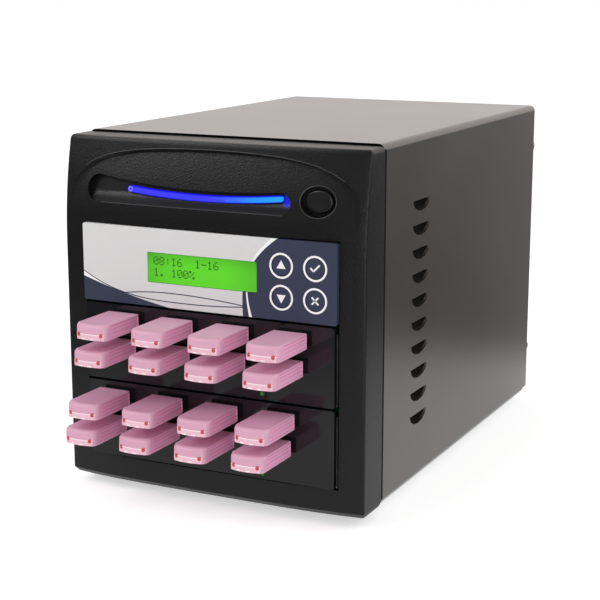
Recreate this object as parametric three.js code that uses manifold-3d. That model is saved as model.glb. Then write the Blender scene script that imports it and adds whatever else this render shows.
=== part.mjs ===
import * as THREE from "three";
import { mergeVertices } from "three/addons/utils/BufferGeometryUtils.js";
import Module from "manifold-3d";

// A desktop tower that copies one flash drive onto many. Lengths are in millimetres, with x to the
// right, y to the back and z up. Here y = 0 is the front edge of the sheet cover and z = 0 is its
// lower edge; the whole group is set on its feet at the end.

const wasm = await Module();
wasm.setup();

// General clearances.
const seatGap = 0.3;
const cutOver = 2;

// Flash drives, plugged into the front. A drive's own origin is the middle of its back end.
const driveWidth = 18.6;
const driveHeight = 8;
const driveLength = 31.5;
const driveCornerHigh = 4.4;
const driveCornerLow = 0.8;
const driveNose = 3.2;
const driveBulge = 0.8;
const driveEdge = 0.3;
const driveRecessDepth = 0.5;
const driveRecessRim = 1.1;
const driveRecessStop = 6.4;
const plugWidth = 12;
const plugHeight = 4.5;
const plugLength = 12;
const plugWall = 0.4;
const plugBared = 3;

// Ports: a shell round each plug, with a tongue that enters the plug's upper half.
const driveColumns = 4;
const driveRows = 2;
const driveSpace = 14;
const rowPitch = 14.3;
const topRowDrop = 7.2;
const rowStagger = 2.1;
const upperBankShift = 0.8;
const lowerBankShift = -6;
const portWall = 0.5;
const portDepth = 14;
const portInset = 0.6;
const tongueInset = 4;
const hubBoard = 1.6;
const hubBoardTrim = 2.5;

// Bays in the front, one above the other.
const bayCount = 3;
const bayPitch = 42.5;
const baySpare = 18.2;
const bayFloor = 11.8;
const panelLine = 1.3;
const panelMargin = 1.5;
const panelThickness = 3;
const panelProud = 0.3;
const panelCorner = 1.2;
const trayInset = 1.3;
const traySheet = 1;
const trayLift = 1;
const trayHeight = 38;

// Control panel in the top bay.
const lcdWidth = 62.6;
const lcdHeight = 14.4;
const lcdRim = 0.5;
const lcdFrameSide = 3.4;
const lcdFrameTop = 5.5;
const lcdGlassDrop = 1;
const keyRadius = 5.2;
const keyPitchX = 18.7;
const keyPitchZ = 16.2;
const keyMargin = 11.9;
const keyDrop = 0.9;
const keyTravel = 0.5;
const keyFlange = 1;
const keyFlangeReach = 1.1;
const windowMargin = 9.2;
const boardStandoff = 9;
const controlBoard = 1.6;
const controlBoardTrim = 3;
const postRadius = 2.6;
const postInset = 5;
const switchSize = 6;
const activityRadius = 1.5;
const activityInset = 42;
const activityLift = 3;

// Case.
const bezelSide = 12.2;
const browHeight = 45.7;
const caseDepth = 246;
const coverSheet = 1;
const coverBend = 3.5;
const coverTab = 10;
const panSheet = 1.2;
const panDrop = 2.4;
const panFlange = 12;
const frameSheet = 1;
const railSheet = 1;
const railFoot = 8;
const railShare = 0.8;

// Louvres pressed into both sides of the cover: each is a dished half moon, open along its chord.
const louvrePitch = 13;
const louvreLength = 24;
const louvreHeight = 6.5;
const louvreDepth = 4;
const louvreMiddle = 51;
const louvreTopMargin = 34;
const louvreFootMargin = 28;

// Front bezel: its face bows forward, and leans back towards the top.
const bezelDepth = 28;
const bezelBow = 4;
const bezelLean = 7;
const leanStart = 11.3;
const bezelWall = 2.2;
const bezelEdge = 1.2;
const bezelCorner = 2.6;
const bezelFootChamfer = 2.6;
const bezelProud = 1.2;
const bezelTopDrop = 1.1;
const revealWidth = 2.2;
const neckInset = 2;
const neckLap = 3;
const sleeveWall = 2;

// The arched scoop in the band above the bays, and the drooping groove in it.
const scoopDepth = 3;
const scoopSideSlope = 7;
const scoopTopSlope = 1.6;
const scoopFloorShare = 1.12;
const scoopSideMargin = 3.8;
const scoopTopMargin = 4;
const scoopFoot = 4;
const scoopEndLift = 12;
const shoulderShare = 0.62;
const grooveLeft = 73.2;
const grooveRight = 47.1;
const grooveEndLeft = 7.3;
const grooveEndRight = 5.7;
const grooveLift = 10.4;
const grooveDroop = 3.2;
const grooveDepth = 4.6;
const grooveTrough = 6;
const barLeft = 47.4;
const barRight = 39.4;
const barHeight = 3.2;
const barLift = 18.1;
const barDroop = 2.3;
const barProud = 1.2;

// Power button beside the groove.
const buttonX = 61.6;
const buttonLift = 18.4;
const buttonWidth = 15;
const buttonHeight = 11.4;
const buttonTravel = 1.5;
const buttonSunk = 2;
const wellSide = 2.1;
const wellDepth = 4.4;
const guideWall = 1.6;
const guideLength = 4;
const stemRadius = 2.5;
const frontBoard = 1.6;
const frontBoardHeight = 16;

// Rear of the case.
const psuWidth = 81.5;
const psuHeight = 40.5;
const psuDepth = 150;
const psuLip = 4;
const psuGrilleSlots = 5;
const psuSlotHeight = 3;
const psuSlotPitch = 6;
const psuSlotDepth = 5;
const psuGrilleMargin = 6;
const inletWidth = 24;
const inletHeight = 16.5;
const inletDepth = 20;
const inletWall = 1.6;
const inletFlange = 2.2;
const inletFlangeReach = 1.8;
const inletCorner = 4.5;
const inletShare = 0.24;
const pinLength = 13;
const pinWidth = 4;
const pinThickness = 2;
const pinPitch = 7;
const pinRise = 2;
const switchSpace = 1.7;
const rockerRadius = 6.6;
const rockerWidth = 7;
const rockerTilt = 9;
const rockerBrow = 28;
const rockerDish = 1.4;
const rockerWall = 1.3;
const rockerFlange = 1.4;
const rockerPivot = 1.2;
const fanSize = 80;
const fanDepth = 25;
const fanWall = 2;
const fanLift = 22;
const fanHoleInset = 4.25;
const fanHoleRadius = 2.2;
const fanStrut = 3;
const fanHub = 16;
const fanShaft = 1.5;
const bladeCount = 7;
const bladeThickness = 1.4;
const bladeChord = 18;
const bladeRootTilt = 48;
const bladeTipTilt = 30;
const fanTipGap = 1.5;
const guardWire = 0.9;
const guardRings = 3;
const ventCount = 9;
const ventWidth = 3;
const ventLength = 22;
const ventPitch = 8;
const ventMargin = 12;

// Screws and feet.
const screwRadius = 1.7;
const screwHeadRadius = 5;
const screwHeadLength = 5.5;
const screwMargin = 26;
const footRadius = 8;
const footHeight = 5;
const footTaper = 1.2;
const footInset = 24;

// Sizes that follow from the ones above.
const drivePitch = driveWidth + driveSpace;
const bayWidth = driveColumns * drivePitch + baySpare;
const bayTop = bayFloor + bayCount * bayPitch;
const caseWidth = bayWidth + 2 * bezelSide;
const caseHeight = bayTop + browHeight;
const coverInside = caseWidth / 2 - coverSheet;
const panHalf = coverInside - seatGap;
const panTop = panSheet - panDrop;
const frameHalf = panHalf - panSheet - seatGap;
const frameFoot = panTop + seatGap;
const frameTop = caseHeight - coverSheet - seatGap;
const trayHalf = bayWidth / 2 - trayInset;
const panelFront = -bezelDepth - panelProud;
const panelBack = panelFront + panelThickness;
const bezelHalf = caseWidth / 2 + bezelProud;
const bezelFoot = -panDrop;
const bezelTop = caseHeight - bezelTopDrop;
const rearOuter = caseDepth - coverSheet - seatGap;
const rearInner = rearOuter - frameSheet;
const psuRear = rearInner - seatGap;
const psuFront = psuRear - psuDepth;
const fanMiddle = panTop + psuHeight + fanLift + fanSize / 2;

// The closed surface of a geometry, as a solid that can be joined and cut.
function solid(geometry) {
  const bare = geometry.clone();
  bare.deleteAttribute("normal");
  bare.deleteAttribute("uv");
  const merged = mergeVertices(bare);
  const surface = new wasm.Mesh({
    numProp: 3,
    vertProperties: merged.attributes.position.array,
    triVerts: new Uint32Array(merged.index.array),
  });
  return new wasm.Manifold(surface);
}

function geometryOf(body) {
  const surface = body.getMesh();
  const geometry = new THREE.BufferGeometry();
  geometry.setAttribute("position", new THREE.BufferAttribute(surface.vertProperties, 3));
  geometry.setIndex(new THREE.BufferAttribute(surface.triVerts, 1));
  geometry.computeVertexNormals();
  return geometry;
}

// A block between two corners.
function block(x0, x1, y0, y1, z0, z1) {
  const geometry = new THREE.BoxGeometry(x1 - x0, y1 - y0, z1 - z0);
  geometry.translate((x0 + x1) / 2, (y0 + y1) / 2, (z0 + z1) / 2);
  return solid(geometry);
}

// A block that is the same on both sides of x = 0.
function centredBlock(half, y0, y1, z0, z1) {
  return block(-half, half, y0, y1, z0, z1);
}

function extruded(shape, length, curveSegments) {
  return new THREE.ExtrudeGeometry(shape, { depth: length, bevelEnabled: false, curveSegments });
}

// A shape drawn in x and z, carried along y.
function alongY(shape, y0, y1, curveSegments = 8) {
  const geometry = extruded(shape, y1 - y0, curveSegments);
  geometry.rotateX(Math.PI / 2);
  geometry.translate(0, y1, 0);
  return solid(geometry);
}

// A shape drawn in x and y, carried along z.
function alongZ(shape, z0, z1, curveSegments = 8) {
  const geometry = extruded(shape, z1 - z0, curveSegments);
  geometry.translate(0, 0, z0);
  return solid(geometry);
}

// A round rod along y.
function rodY(radius, y0, y1, x, z, sides = 16) {
  const geometry = new THREE.CylinderGeometry(radius, radius, y1 - y0, sides);
  geometry.translate(x, (y0 + y1) / 2, z);
  return solid(geometry);
}

// A solid turned about an axis along y, from points of radius and y.
function turnedY(points, x, z, sides) {
  const profile = points.map(([radius, y]) => new THREE.Vector2(radius, y));
  const geometry = new THREE.LatheGeometry(profile, sides);
  geometry.translate(x, 0, z);
  return solid(geometry);
}

// A rectangle with round corners, as a shape.
function roundedRectangle(x0, x1, z0, z1, radius) {
  const shape = new THREE.Shape();
  shape.moveTo(x0 + radius, z0);
  shape.lineTo(x1 - radius, z0);
  shape.absarc(x1 - radius, z0 + radius, radius, -Math.PI / 2, 0);
  shape.lineTo(x1, z1 - radius);
  shape.absarc(x1 - radius, z1 - radius, radius, 0, Math.PI / 2);
  shape.lineTo(x0 + radius, z1);
  shape.absarc(x0 + radius, z1 - radius, radius, Math.PI / 2, Math.PI);
  shape.lineTo(x0, z0 + radius);
  shape.absarc(x0 + radius, z0 + radius, radius, Math.PI, 1.5 * Math.PI);
  return shape;
}

function polygon(points) {
  return new THREE.Shape(points.map(([u, v]) => new THREE.Vector2(u, v)));
}

// A skin through rings of equal point count, closed at both ends. Rings run anticlockwise as seen
// from the end that the last ring faces.
function loft(rings) {
  const count = rings[0].length;
  const positions = rings.flat().flatMap((point) => point.toArray());
  const index = [];
  for (let ring = 0; ring + 1 < rings.length; ring += 1) {
    for (let i = 0; i < count; i += 1) {
      const a = ring * count + i;
      const b = ring * count + ((i + 1) % count);
      index.push(a, b, b + count, a, b + count, a + count);
    }
  }
  const last = (rings.length - 1) * count;
  for (let i = 1; i + 1 < count; i += 1) {
    index.push(0, i + 1, i);
    index.push(last, last + i, last + i + 1);
  }
  const geometry = new THREE.BufferGeometry();
  geometry.setAttribute("position", new THREE.Float32BufferAttribute(positions, 3));
  geometry.setIndex(index);
  return solid(geometry);
}

function joined(bodies) {
  return bodies.reduce((whole, body) => whole.add(body));
}

function cutBy(body, cutters) {
  return cutters.reduce((rest, cutter) => rest.subtract(cutter), body);
}

// Finishes of the pieces.
function finish(color, roughness, metalness = 0) {
  return new THREE.MeshStandardMaterial({ color, roughness, metalness });
}

const finishes = {
  paint: finish("#4b4642", 0.38, 0.3),
  steel: finish("#a9acae", 0.4, 0.9),
  moulding: finish("#232325", 0.5),
  glossPanel: finish("#1f2022", 0.15),
  overlay: finish("#dcdcdc", 0.45),
  navy: finish("#3c425c", 0.45),
  lcd: finish("#5fcf30", 0.3),
  blue: finish("#2f3cff", 0.3),
  green: finish("#4fd02c", 0.3),
  pink: finish("#e6a3c8", 0.4),
  board: finish("#1f5a36", 0.6),
  rubber: finish("#1b1b1b", 0.9),
};

function piece(name, body, material) {
  const mesh = new THREE.Mesh(geometryOf(body), material.clone());
  mesh.name = name;
  return mesh;
}

function placed(mesh, x, y, z) {
  mesh.position.set(x, y, z);
  return mesh;
}

// Bezel surface: how far the face stands at a width and height, before any recess.
function leanAt(z) {
  const start = bayTop - leanStart;
  const rise = Math.max(0, z - start) / (bezelTop - start);
  return bezelLean * rise * rise;
}

function faceAt(x, z) {
  const side = x / bezelHalf;
  return -bezelDepth + bezelBow * side ** 4 + leanAt(z);
}

// The plan of the bezel at one height: straight back, square sides, small corners, bowed face.
// Its sides and its face may stand in from their full size.
function bezelRing(z, sideIn, faceIn, back) {
  const faceSteps = 12;
  const cornerSteps = 2;
  const half = bezelHalf - sideIn;
  const edge = half - bezelEdge;
  const ring = [new THREE.Vector3(half, back, z), new THREE.Vector3(-half, back, z)];
  for (let i = 0; i <= cornerSteps; i += 1) {
    const angle = (i / cornerSteps) * (Math.PI / 2);
    const y = faceAt(edge, z) + faceIn + bezelEdge * (1 - Math.sin(angle));
    ring.push(new THREE.Vector3(-edge - bezelEdge * Math.cos(angle), y, z));
  }
  for (let i = 1; i < faceSteps; i += 1) {
    const x = -edge * Math.cos((i / faceSteps) * Math.PI);
    ring.push(new THREE.Vector3(x, faceAt(x, z) + faceIn, z));
  }
  for (let i = 0; i <= cornerSteps; i += 1) {
    const angle = (1 - i / cornerSteps) * (Math.PI / 2);
    const y = faceAt(edge, z) + faceIn + bezelEdge * (1 - Math.sin(angle));
    ring.push(new THREE.Vector3(edge + bezelEdge * Math.cos(angle), y, z));
  }
  return ring;
}

// Heights at which the leaning face is drawn, up to a given one.
function leanHeights(high) {
  const lean = bayTop - leanStart;
  const steps = 6;
  return Array.from({ length: steps + 1 }, (unused, i) => lean + ((high - lean) * i) / steps);
}

// A body behind the bezel's face, set back from it by a drop that may change with height.
function behindFace(dropAt, heights, back) {
  return loft(heights.map((z) => bezelRing(z, 0, dropAt(z), back)));
}

// The scoop deepens from its foot to its arched rim.
function scoopDrop(z) {
  const foot = bayTop + scoopFoot;
  const rise = Math.max(0, z - foot) / (bezelTop - scoopTopMargin - foot);
  return scoopDepth * rise ** 1.5;
}

// The groove is a trough: shallow along its lower rim, and at full depth behind the light bar.
function grooveDrop(z) {
  const rise = Math.max(0, z - bayTop - grooveLift) / grooveTrough;
  return grooveDepth * Math.sin((Math.min(1, rise) * Math.PI) / 2);
}

// How far a round edge comes in at a depth below its end.
function roundIn(radius, depth) {
  const rest = Math.max(0, 1 - depth / radius);
  return radius * (1 - Math.sqrt(1 - rest * rest));
}

// Depths below a top at which its round edges are drawn, as shares of their radius.
const cornerShares = [0.5, 0.14, 0];

function bezelShell() {
  const back = -seatGap;
  const levels = [
    [bezelFoot, bezelFootChamfer / 2, bezelFootChamfer],
    [bezelFoot + bezelFootChamfer, 0, 0],
    ...leanHeights(bezelTop - bezelCorner).map((z) => [z, 0, 0]),
    ...cornerShares.map((share) => {
      const depth = share * bezelCorner;
      return [bezelTop - depth, roundIn(bezelCorner, depth), roundIn(bezelEdge, depth)];
    }),
  ];
  const outer = loft(levels.map(([z, sideIn, faceIn]) => bezelRing(z, sideIn, faceIn, back)));
  const heights = [bezelFoot + bezelWall, ...leanHeights(bezelTop - bezelWall)];
  const hollow = loft(
    heights.map((z) => bezelRing(z, bezelWall, bezelWall + scoopDrop(z), back + cutOver)),
  );
  return { outer, hollow };
}

// A frame that follows the bezel's outline as seen from the front, between two insets.
function outlineFrame(outerInset, innerInset, y0, y1) {
  const [outer, inner] = [
    [outerInset, 0],
    [innerInset, cutOver],
  ].map(([inset, over]) =>
    centredBlock(bezelHalf - inset, y0 - over, y1 + over, bezelFoot + inset, bezelTop - inset),
  );
  return outer.subtract(inner);
}

// The scoop's outline, a low arch from side to side, drawn in by a share of the slope under its
// rim and set back from the bezel's face.
function scoopRing(share, dropAt) {
  const half = bezelHalf - scoopSideMargin - share * scoopSideSlope;
  const top = bezelTop - scoopTopMargin - share * scoopTopSlope;
  const ends = bayTop + scoopEndLift;
  const foot = bayTop + scoopFoot;
  const shape = new THREE.Shape();
  shape.moveTo(half, foot);
  shape.lineTo(half, ends);
  shape.bezierCurveTo(half, top - (top - ends) / 6, half * shoulderShare, top, 0, top);
  shape.bezierCurveTo(-half * shoulderShare, top, -half, top - (top - ends) / 6, -half, ends);
  shape.lineTo(-half, foot);
  return shape.getPoints(10).map(({ x, y: z }) => new THREE.Vector3(x, faceAt(x, z) + dropAt(z), z));
}

// The scoop: its slope curves in from the rim like a fillet, down to the floor.
function scoopBowl(heights) {
  const steps = 3;
  const slope = Array.from({ length: steps + 1 }, (unused, i) => {
    const angle = (1 - i / steps) * (Math.PI / 2);
    const depthShare = scoopFloorShare * Math.sin(angle);
    return scoopRing(1 - Math.cos(angle), (z) => scoopDrop(z) * depthShare);
  });
  const deep = scoopRing(1, (z) => scoopDrop(z) + bezelWall);
  const front = scoopRing(0, () => -2 * bezelDepth);
  return loft([deep, ...slope, front]).subtract(behindFace(scoopDrop, heights, cutOver));
}

// The groove's outline, grown by a margin: a wide round end, a drooping waist and a narrower end.
function grooveShape(margin) {
  const left = -grooveLeft + grooveEndLeft;
  const right = grooveRight - grooveEndRight;
  const low = bayTop + grooveLift - margin;
  const leftMiddle = low + grooveEndLeft + margin;
  const rightMiddle = low + grooveEndRight + margin;
  const leftTop = leftMiddle + grooveEndLeft + margin;
  const rightTop = rightMiddle + grooveEndRight + margin;
  const waist = (leftTop + rightTop) / 2 - 2 * grooveDroop;
  const shape = new THREE.Shape();
  shape.moveTo(left, low);
  shape.lineTo(right, low);
  shape.absarc(right, rightMiddle, grooveEndRight + margin, -Math.PI / 2, Math.PI / 2);
  shape.quadraticCurveTo((left + right) / 2, waist, left, leftTop);
  shape.absarc(left, leftMiddle, grooveEndLeft + margin, Math.PI / 2, 1.5 * Math.PI);
  return shape;
}

// The light bar's outline, grown by a margin: a band that droops in the middle.
function barShape(margin) {
  const half = barHeight / 2 + margin;
  const middle = (barRight - barLeft) / 2;
  const high = bayTop + barLift;
  const low = high - 2 * barDroop;
  const shape = new THREE.Shape();
  shape.moveTo(-barLeft, high - half);
  shape.quadraticCurveTo(middle, low - half, barRight, high - half);
  shape.absarc(barRight, high, half, -Math.PI / 2, Math.PI / 2);
  shape.quadraticCurveTo(middle, low + half, -barLeft, high + half);
  shape.absarc(-barLeft, high, half, Math.PI / 2, 1.5 * Math.PI);
  return shape;
}

function ellipseShape(halfWidth, halfHeight) {
  const shape = new THREE.Shape();
  shape.absellipse(buttonX, bayTop + buttonLift, halfWidth, halfHeight, 0, 2 * Math.PI);
  return shape;
}

const frontBoardFront = -bezelDepth + bezelBow + bezelLean + grooveDepth + bezelWall;
const wellFloor = faceAt(buttonX, bayTop + buttonLift) + wellDepth;
const buttonFront = wellFloor - wellDepth + buttonSunk;
const bezelFar = -bezelDepth - cutOver;

function boardPosts() {
  const z = bayTop + grooveLift + grooveEndLeft;
  return [-grooveLeft, (grooveRight + buttonX) / 2].map((x) => [x, z]);
}

function frontBezel() {
  const { outer, hollow } = bezelShell();
  const opening = block(-bayWidth / 2, bayWidth / 2, bezelFar - bezelDepth, cutOver, bayFloor, bayTop);
  const sleeve = block(
    -bayWidth / 2 - sleeveWall,
    bayWidth / 2 + sleeveWall,
    bezelFar,
    -seatGap,
    bayFloor - sleeveWall,
    bayTop + sleeveWall,
  );
  const reach = bezelFar - bezelDepth;
  const pocket = alongY(grooveShape(bezelWall), reach, 0);
  const heights = [bezelFoot - cutOver, ...leanHeights(bezelTop + cutOver)];
  const troughSteps = 4;
  const grooveHeights = Array.from({ length: troughSteps + 1 }, (unused, i) => {
    return bayTop + grooveLift + (grooveTrough * i) / troughSteps;
  });
  const grooveBoss = pocket.subtract(behindFace(() => grooveDepth + bezelWall, heights, cutOver));
  const guideHalf = [buttonWidth / 2 + seatGap + guideWall, buttonHeight / 2 + seatGap + guideWall];
  const guide = alongY(ellipseShape(...guideHalf), bezelFar, wellFloor + guideLength, 10);
  const wellHalf = [buttonWidth / 2 + wellSide, buttonHeight / 2 + wellSide];
  const wellBoss = alongY(
    ellipseShape(wellHalf[0] + bezelWall, wellHalf[1] + bezelWall),
    bezelFar,
    wellFloor + bezelWall,
    10,
  );
  const posts = boardPosts().map(([x, z]) => rodY(postRadius, bezelFar, frontBoardFront - seatGap, x, z));
  const lining = outlineFrame(neckInset, neckInset + bezelWall, -revealWidth - neckLap, -seatGap);
  const reveal = outlineFrame(-cutOver, neckInset, -revealWidth, cutOver);
  const bosses = joined([lining, sleeve, grooveBoss, guide, wellBoss, ...posts]).intersect(outer);
  const troughHeights = [bezelFoot - cutOver, bayTop, ...grooveHeights, bezelTop, bezelTop + cutOver];
  const groove = alongY(grooveShape(0), reach, 0).subtract(behindFace(grooveDrop, troughHeights, cutOver));
  return cutBy(outer.subtract(hollow).add(bosses), [
    opening,
    reveal,
    scoopBowl(heights),
    groove,
    alongY(barShape(seatGap), reach, 0, 10),
    alongY(ellipseShape(...wellHalf), reach, wellFloor, 10),
    alongY(ellipseShape(buttonWidth / 2 + seatGap, buttonHeight / 2 + seatGap), reach, cutOver, 10),
  ]);
}

// The light bar's face follows the groove's floor, standing a little proud of it.
function lightBar() {
  const heights = [bezelFoot, ...leanHeights(bezelTop)];
  const behind = behindFace(() => grooveDepth - barProud, heights, cutOver);
  return alongY(barShape(0), bezelFar, frontBoardFront - seatGap, 10).intersect(behind);
}

function powerButton() {
  const z = bayTop + buttonLift;
  const face = ellipseShape(buttonWidth / 2, buttonHeight / 2);
  const cap = alongY(face, buttonFront, wellFloor + guideLength, 10);
  const stemEnd = frontBoardFront - switchHeight - buttonTravel - seatGap;
  return cap.add(rodY(stemRadius, wellFloor, stemEnd, buttonX, z));
}

const switchHeight = 3;

// The small board behind the bezel, with the lamp of the light bar and the power switch.
function frontBoardBody() {
  const z = bayTop + barLift;
  const front = frontBoardFront;
  const low = z - frontBoardHeight / 2;
  const high = z + frontBoardHeight / 2;
  const left = -grooveLeft - postRadius;
  const right = buttonX + switchSize;
  const plate = block(left, right, front, front + frontBoard, low, high);
  const half = switchSize / 2;
  const middle = bayTop + buttonLift;
  const press = block(
    buttonX - half,
    buttonX + half,
    front - switchHeight,
    front + frontBoard / 2,
    middle - half,
    middle + half,
  );
  return plate.add(press);
}

// Cover: one sheet bent over the top and both sides, with tabs that lap the rear panel.
function coverShape(half, top, bend, foot) {
  const shape = new THREE.Shape();
  shape.moveTo(-half, foot);
  shape.lineTo(half, foot);
  shape.lineTo(half, top - bend);
  shape.absarc(half - bend, top - bend, bend, 0, Math.PI / 2);
  shape.lineTo(-half + bend, top);
  shape.absarc(-half + bend, top - bend, bend, Math.PI / 2, Math.PI);
  return shape;
}

function louvreHeights() {
  const run = caseHeight - louvreTopMargin - louvreFootMargin;
  const count = Math.floor(run / louvrePitch) + 1;
  return Array.from({ length: count }, (unused, i) => caseHeight - louvreTopMargin - i * louvrePitch);
}

// A quarter of an ellipsoid below the chord, grown by the sheet where it is the dish's outside.
function louvreDish(side, z, grow) {
  const geometry = new THREE.SphereGeometry(1, 10, 6);
  geometry.scale(louvreDepth + grow, louvreLength / 2 + grow, louvreHeight + grow);
  geometry.translate((side * caseWidth) / 2, louvreMiddle, z);
  return solid(geometry);
}

function caseCover() {
  const half = caseWidth / 2;
  const outer = alongY(coverShape(half, caseHeight, coverBend, 0), 0, caseDepth, 5);
  const insideBend = coverBend - coverSheet;
  const innerShape = coverShape(coverInside, caseHeight - coverSheet, insideBend, -cutOver);
  const inner = alongY(innerShape, -cutOver, caseDepth + cutOver, 5);
  let sheet = outer.subtract(inner);
  for (const side of [-1, 1]) {
    const low = Math.min(side * coverInside, side * (coverInside - coverTab));
    const tab = block(
      low,
      low + coverTab,
      caseDepth - coverSheet,
      caseDepth,
      panFlange,
      frameTop - coverBend,
    );
    const lap = block(
      Math.min(side * half, side * (coverInside - coverTab)),
      Math.max(side * half, side * (coverInside - coverTab)),
      caseDepth - coverSheet,
      caseDepth,
      panFlange,
      frameTop - coverBend,
    );
    const keep = tab.add(lap.intersect(outer));
    sheet = sheet.add(keep);
    for (const z of louvreHeights()) {
      const reach = louvreDepth + 2 * coverSheet + cutOver;
      const x = side * half;
      const below = block(
        Math.min(x, x - side * reach),
        Math.max(x, x - side * reach),
        louvreMiddle - louvreLength,
        louvreMiddle + louvreLength,
        z - 2 * louvreHeight,
        z,
      );
      const dish = louvreDish(side, z, coverSheet).intersect(below);
      sheet = sheet.add(dish);
    }
    for (const z of louvreHeights()) {
      const x = side * half;
      const reach = louvreDepth + cutOver;
      const from = louvreMiddle - louvreLength;
      const below = block(x - reach, x + reach, from, from + 2 * louvreLength, z - 2 * louvreHeight, z);
      sheet = sheet.subtract(louvreDish(side, z, 0).intersect(below));
    }
  }
  const holes = screwPlaces().map(([x, z]) =>
    rodY(screwRadius + seatGap, rearInner, caseDepth + cutOver, x, z, 12),
  );
  return cutBy(sheet, holes);
}

function screwPlaces() {
  const x = coverInside - coverTab / 2;
  const heights = [screwMargin, caseHeight - screwMargin];
  return heights.flatMap((z) => [
    [-x, z],
    [x, z],
  ]);
}

// Base pan: a floor with a turned-up flange on each side.
function basePan() {
  const low = -panDrop;
  const floor = centredBlock(panHalf, 0, rearInner, low, panTop);
  const flanges = [-1, 1].map((side) => {
    const edge = side * panHalf;
    const inner = side * (panHalf - panSheet);
    return block(Math.min(edge, inner), Math.max(edge, inner), 0, rearInner, low, panFlange);
  });
  return joined([floor, ...flanges]);
}

// Front frame: a plate with one window for the bay trays.
function frontFrame() {
  const plate = centredBlock(frameHalf, 0, frameSheet, frameFoot, frameTop);
  const low = bayFloor + trayLift - seatGap;
  const high = bayTop;
  return plate.subtract(centredBlock(trayHalf + seatGap, -cutOver, frameSheet + cutOver, low, high));
}

function bayRail(side) {
  const inner = trayHalf + seatGap;
  const start = frameSheet + seatGap;
  const end = psuFront * railShare;
  const wall = block(
    Math.min(side * inner, side * (inner + railSheet)),
    Math.max(side * inner, side * (inner + railSheet)),
    start,
    end,
    frameFoot,
    bayTop,
  );
  const foot = block(
    Math.min(side * inner, side * (inner - railFoot)),
    Math.max(side * inner, side * (inner - railFoot)),
    start,
    end,
    frameFoot,
    frameFoot + railSheet,
  );
  const corner = block(
    Math.min(side * (inner + railSheet), side * (inner - railSheet)),
    Math.max(side * (inner + railSheet), side * (inner - railSheet)),
    start,
    end,
    frameFoot,
    frameFoot + railSheet,
  );
  return joined([wall, foot, corner]);
}

// A bay tray: a floor and two sides, open at the front, back and top.
function bayTray() {
  const start = panelBack + seatGap;
  const end = psuFront * railShare;
  const outer = centredBlock(trayHalf, start, end, trayLift, trayHeight);
  const hollow = centredBlock(
    trayHalf - traySheet,
    start - cutOver,
    end + cutOver,
    trayLift + traySheet,
    trayHeight + cutOver,
  );
  return outer.subtract(hollow);
}

const panelLow = panelLine / 2;
const panelHigh = bayPitch - panelLine / 2;
const portHalfWidth = plugWidth / 2 + seatGap + portWall;
const portHalfHeight = plugHeight / 2 + seatGap + portWall;

// Places of the ports on one panel, row by row from the top.
function portPlaces(bankShift) {
  const places = [];
  for (let row = 0; row < driveRows; row += 1) {
    for (let column = 0; column < driveColumns; column += 1) {
      const x = (column - (driveColumns - 1) / 2) * drivePitch + bankShift - row * rowStagger;
      places.push([x, panelHigh - topRowDrop - row * rowPitch]);
    }
  }
  return places;
}

function usbPanel(bankShift, lampX) {
  const half = bayWidth / 2 - panelMargin;
  const shape = roundedRectangle(-half, half, panelLow, panelHigh, panelCorner);
  const face = alongY(shape, panelFront, panelBack, 3);
  const slots = portPlaces(bankShift).map(([x, z]) =>
    block(
      x - portHalfWidth - seatGap,
      x + portHalfWidth + seatGap,
      panelFront - cutOver,
      panelBack + cutOver,
      z - portHalfHeight - seatGap,
      z + portHalfHeight + seatGap,
    ),
  );
  const lamp = rodY(
    activityRadius + seatGap,
    panelFront - cutOver,
    panelBack + cutOver,
    lampX,
    panelLow + activityLift,
    12,
  );
  return cutBy(face, [...slots, lamp]);
}

const portFront = panelFront + portInset;
const hubBoardFront = portFront + portDepth;

// A hub board: eight hollow port shells, each with its tongue, standing on one plate.
function usbBoard(bankShift) {
  const half = trayHalf - traySheet - seatGap;
  const low = trayLift + traySheet + seatGap;
  const plate = centredBlock(half, hubBoardFront, hubBoardFront + hubBoard, low, panelHigh - hubBoardTrim);
  const shells = portPlaces(bankShift).map(([x, z]) => {
    const shell = block(
      x - portHalfWidth,
      x + portHalfWidth,
      portFront,
      hubBoardFront + hubBoard / 2,
      z - portHalfHeight,
      z + portHalfHeight,
    );
    const mouth = block(
      x - portHalfWidth + portWall,
      x + portHalfWidth - portWall,
      portFront - cutOver,
      hubBoardFront - portWall,
      z - portHalfHeight + portWall,
      z + portHalfHeight - portWall,
    );
    const tongueHalf = plugWidth / 2 - plugWall - seatGap;
    const tongue = block(
      x - tongueHalf,
      x + tongueHalf,
      portFront + tongueInset,
      hubBoardFront,
      z + seatGap,
      z + plugHeight / 2 - plugWall - seatGap,
    );
    return shell.subtract(mouth).add(tongue);
  });
  return joined([plate, ...shells]);
}

function activityLamp() {
  return rodY(activityRadius, panelFront, hubBoardFront - seatGap, 0, 0, 12);
}

// Control panel.
const fasciaHalf = bayWidth / 2 - seatGap;
const bayMiddle = bayPitch / 2;
const keyRight = fasciaHalf - keyMargin;
const keyLeft = keyRight - keyPitchX;
const windowRight = keyLeft - keyRadius - windowMargin;
const windowMiddle = windowRight - lcdWidth / 2;
const controlBoardFront = panelBack + boardStandoff;

function windowShape(grow) {
  const halfWidth = lcdWidth / 2 + grow;
  const halfHeight = lcdHeight / 2 + grow;
  return roundedRectangle(
    windowMiddle - halfWidth,
    windowMiddle + halfWidth,
    bayMiddle - halfHeight,
    bayMiddle + halfHeight,
    lcdRim,
  );
}

function keyPlaces() {
  return {
    key_up: [keyLeft, keyPitchZ / 2],
    key_enter: [keyRight, keyPitchZ / 2],
    key_down: [keyLeft, -keyPitchZ / 2],
    key_escape: [keyRight, -keyPitchZ / 2],
  };
}

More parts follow.
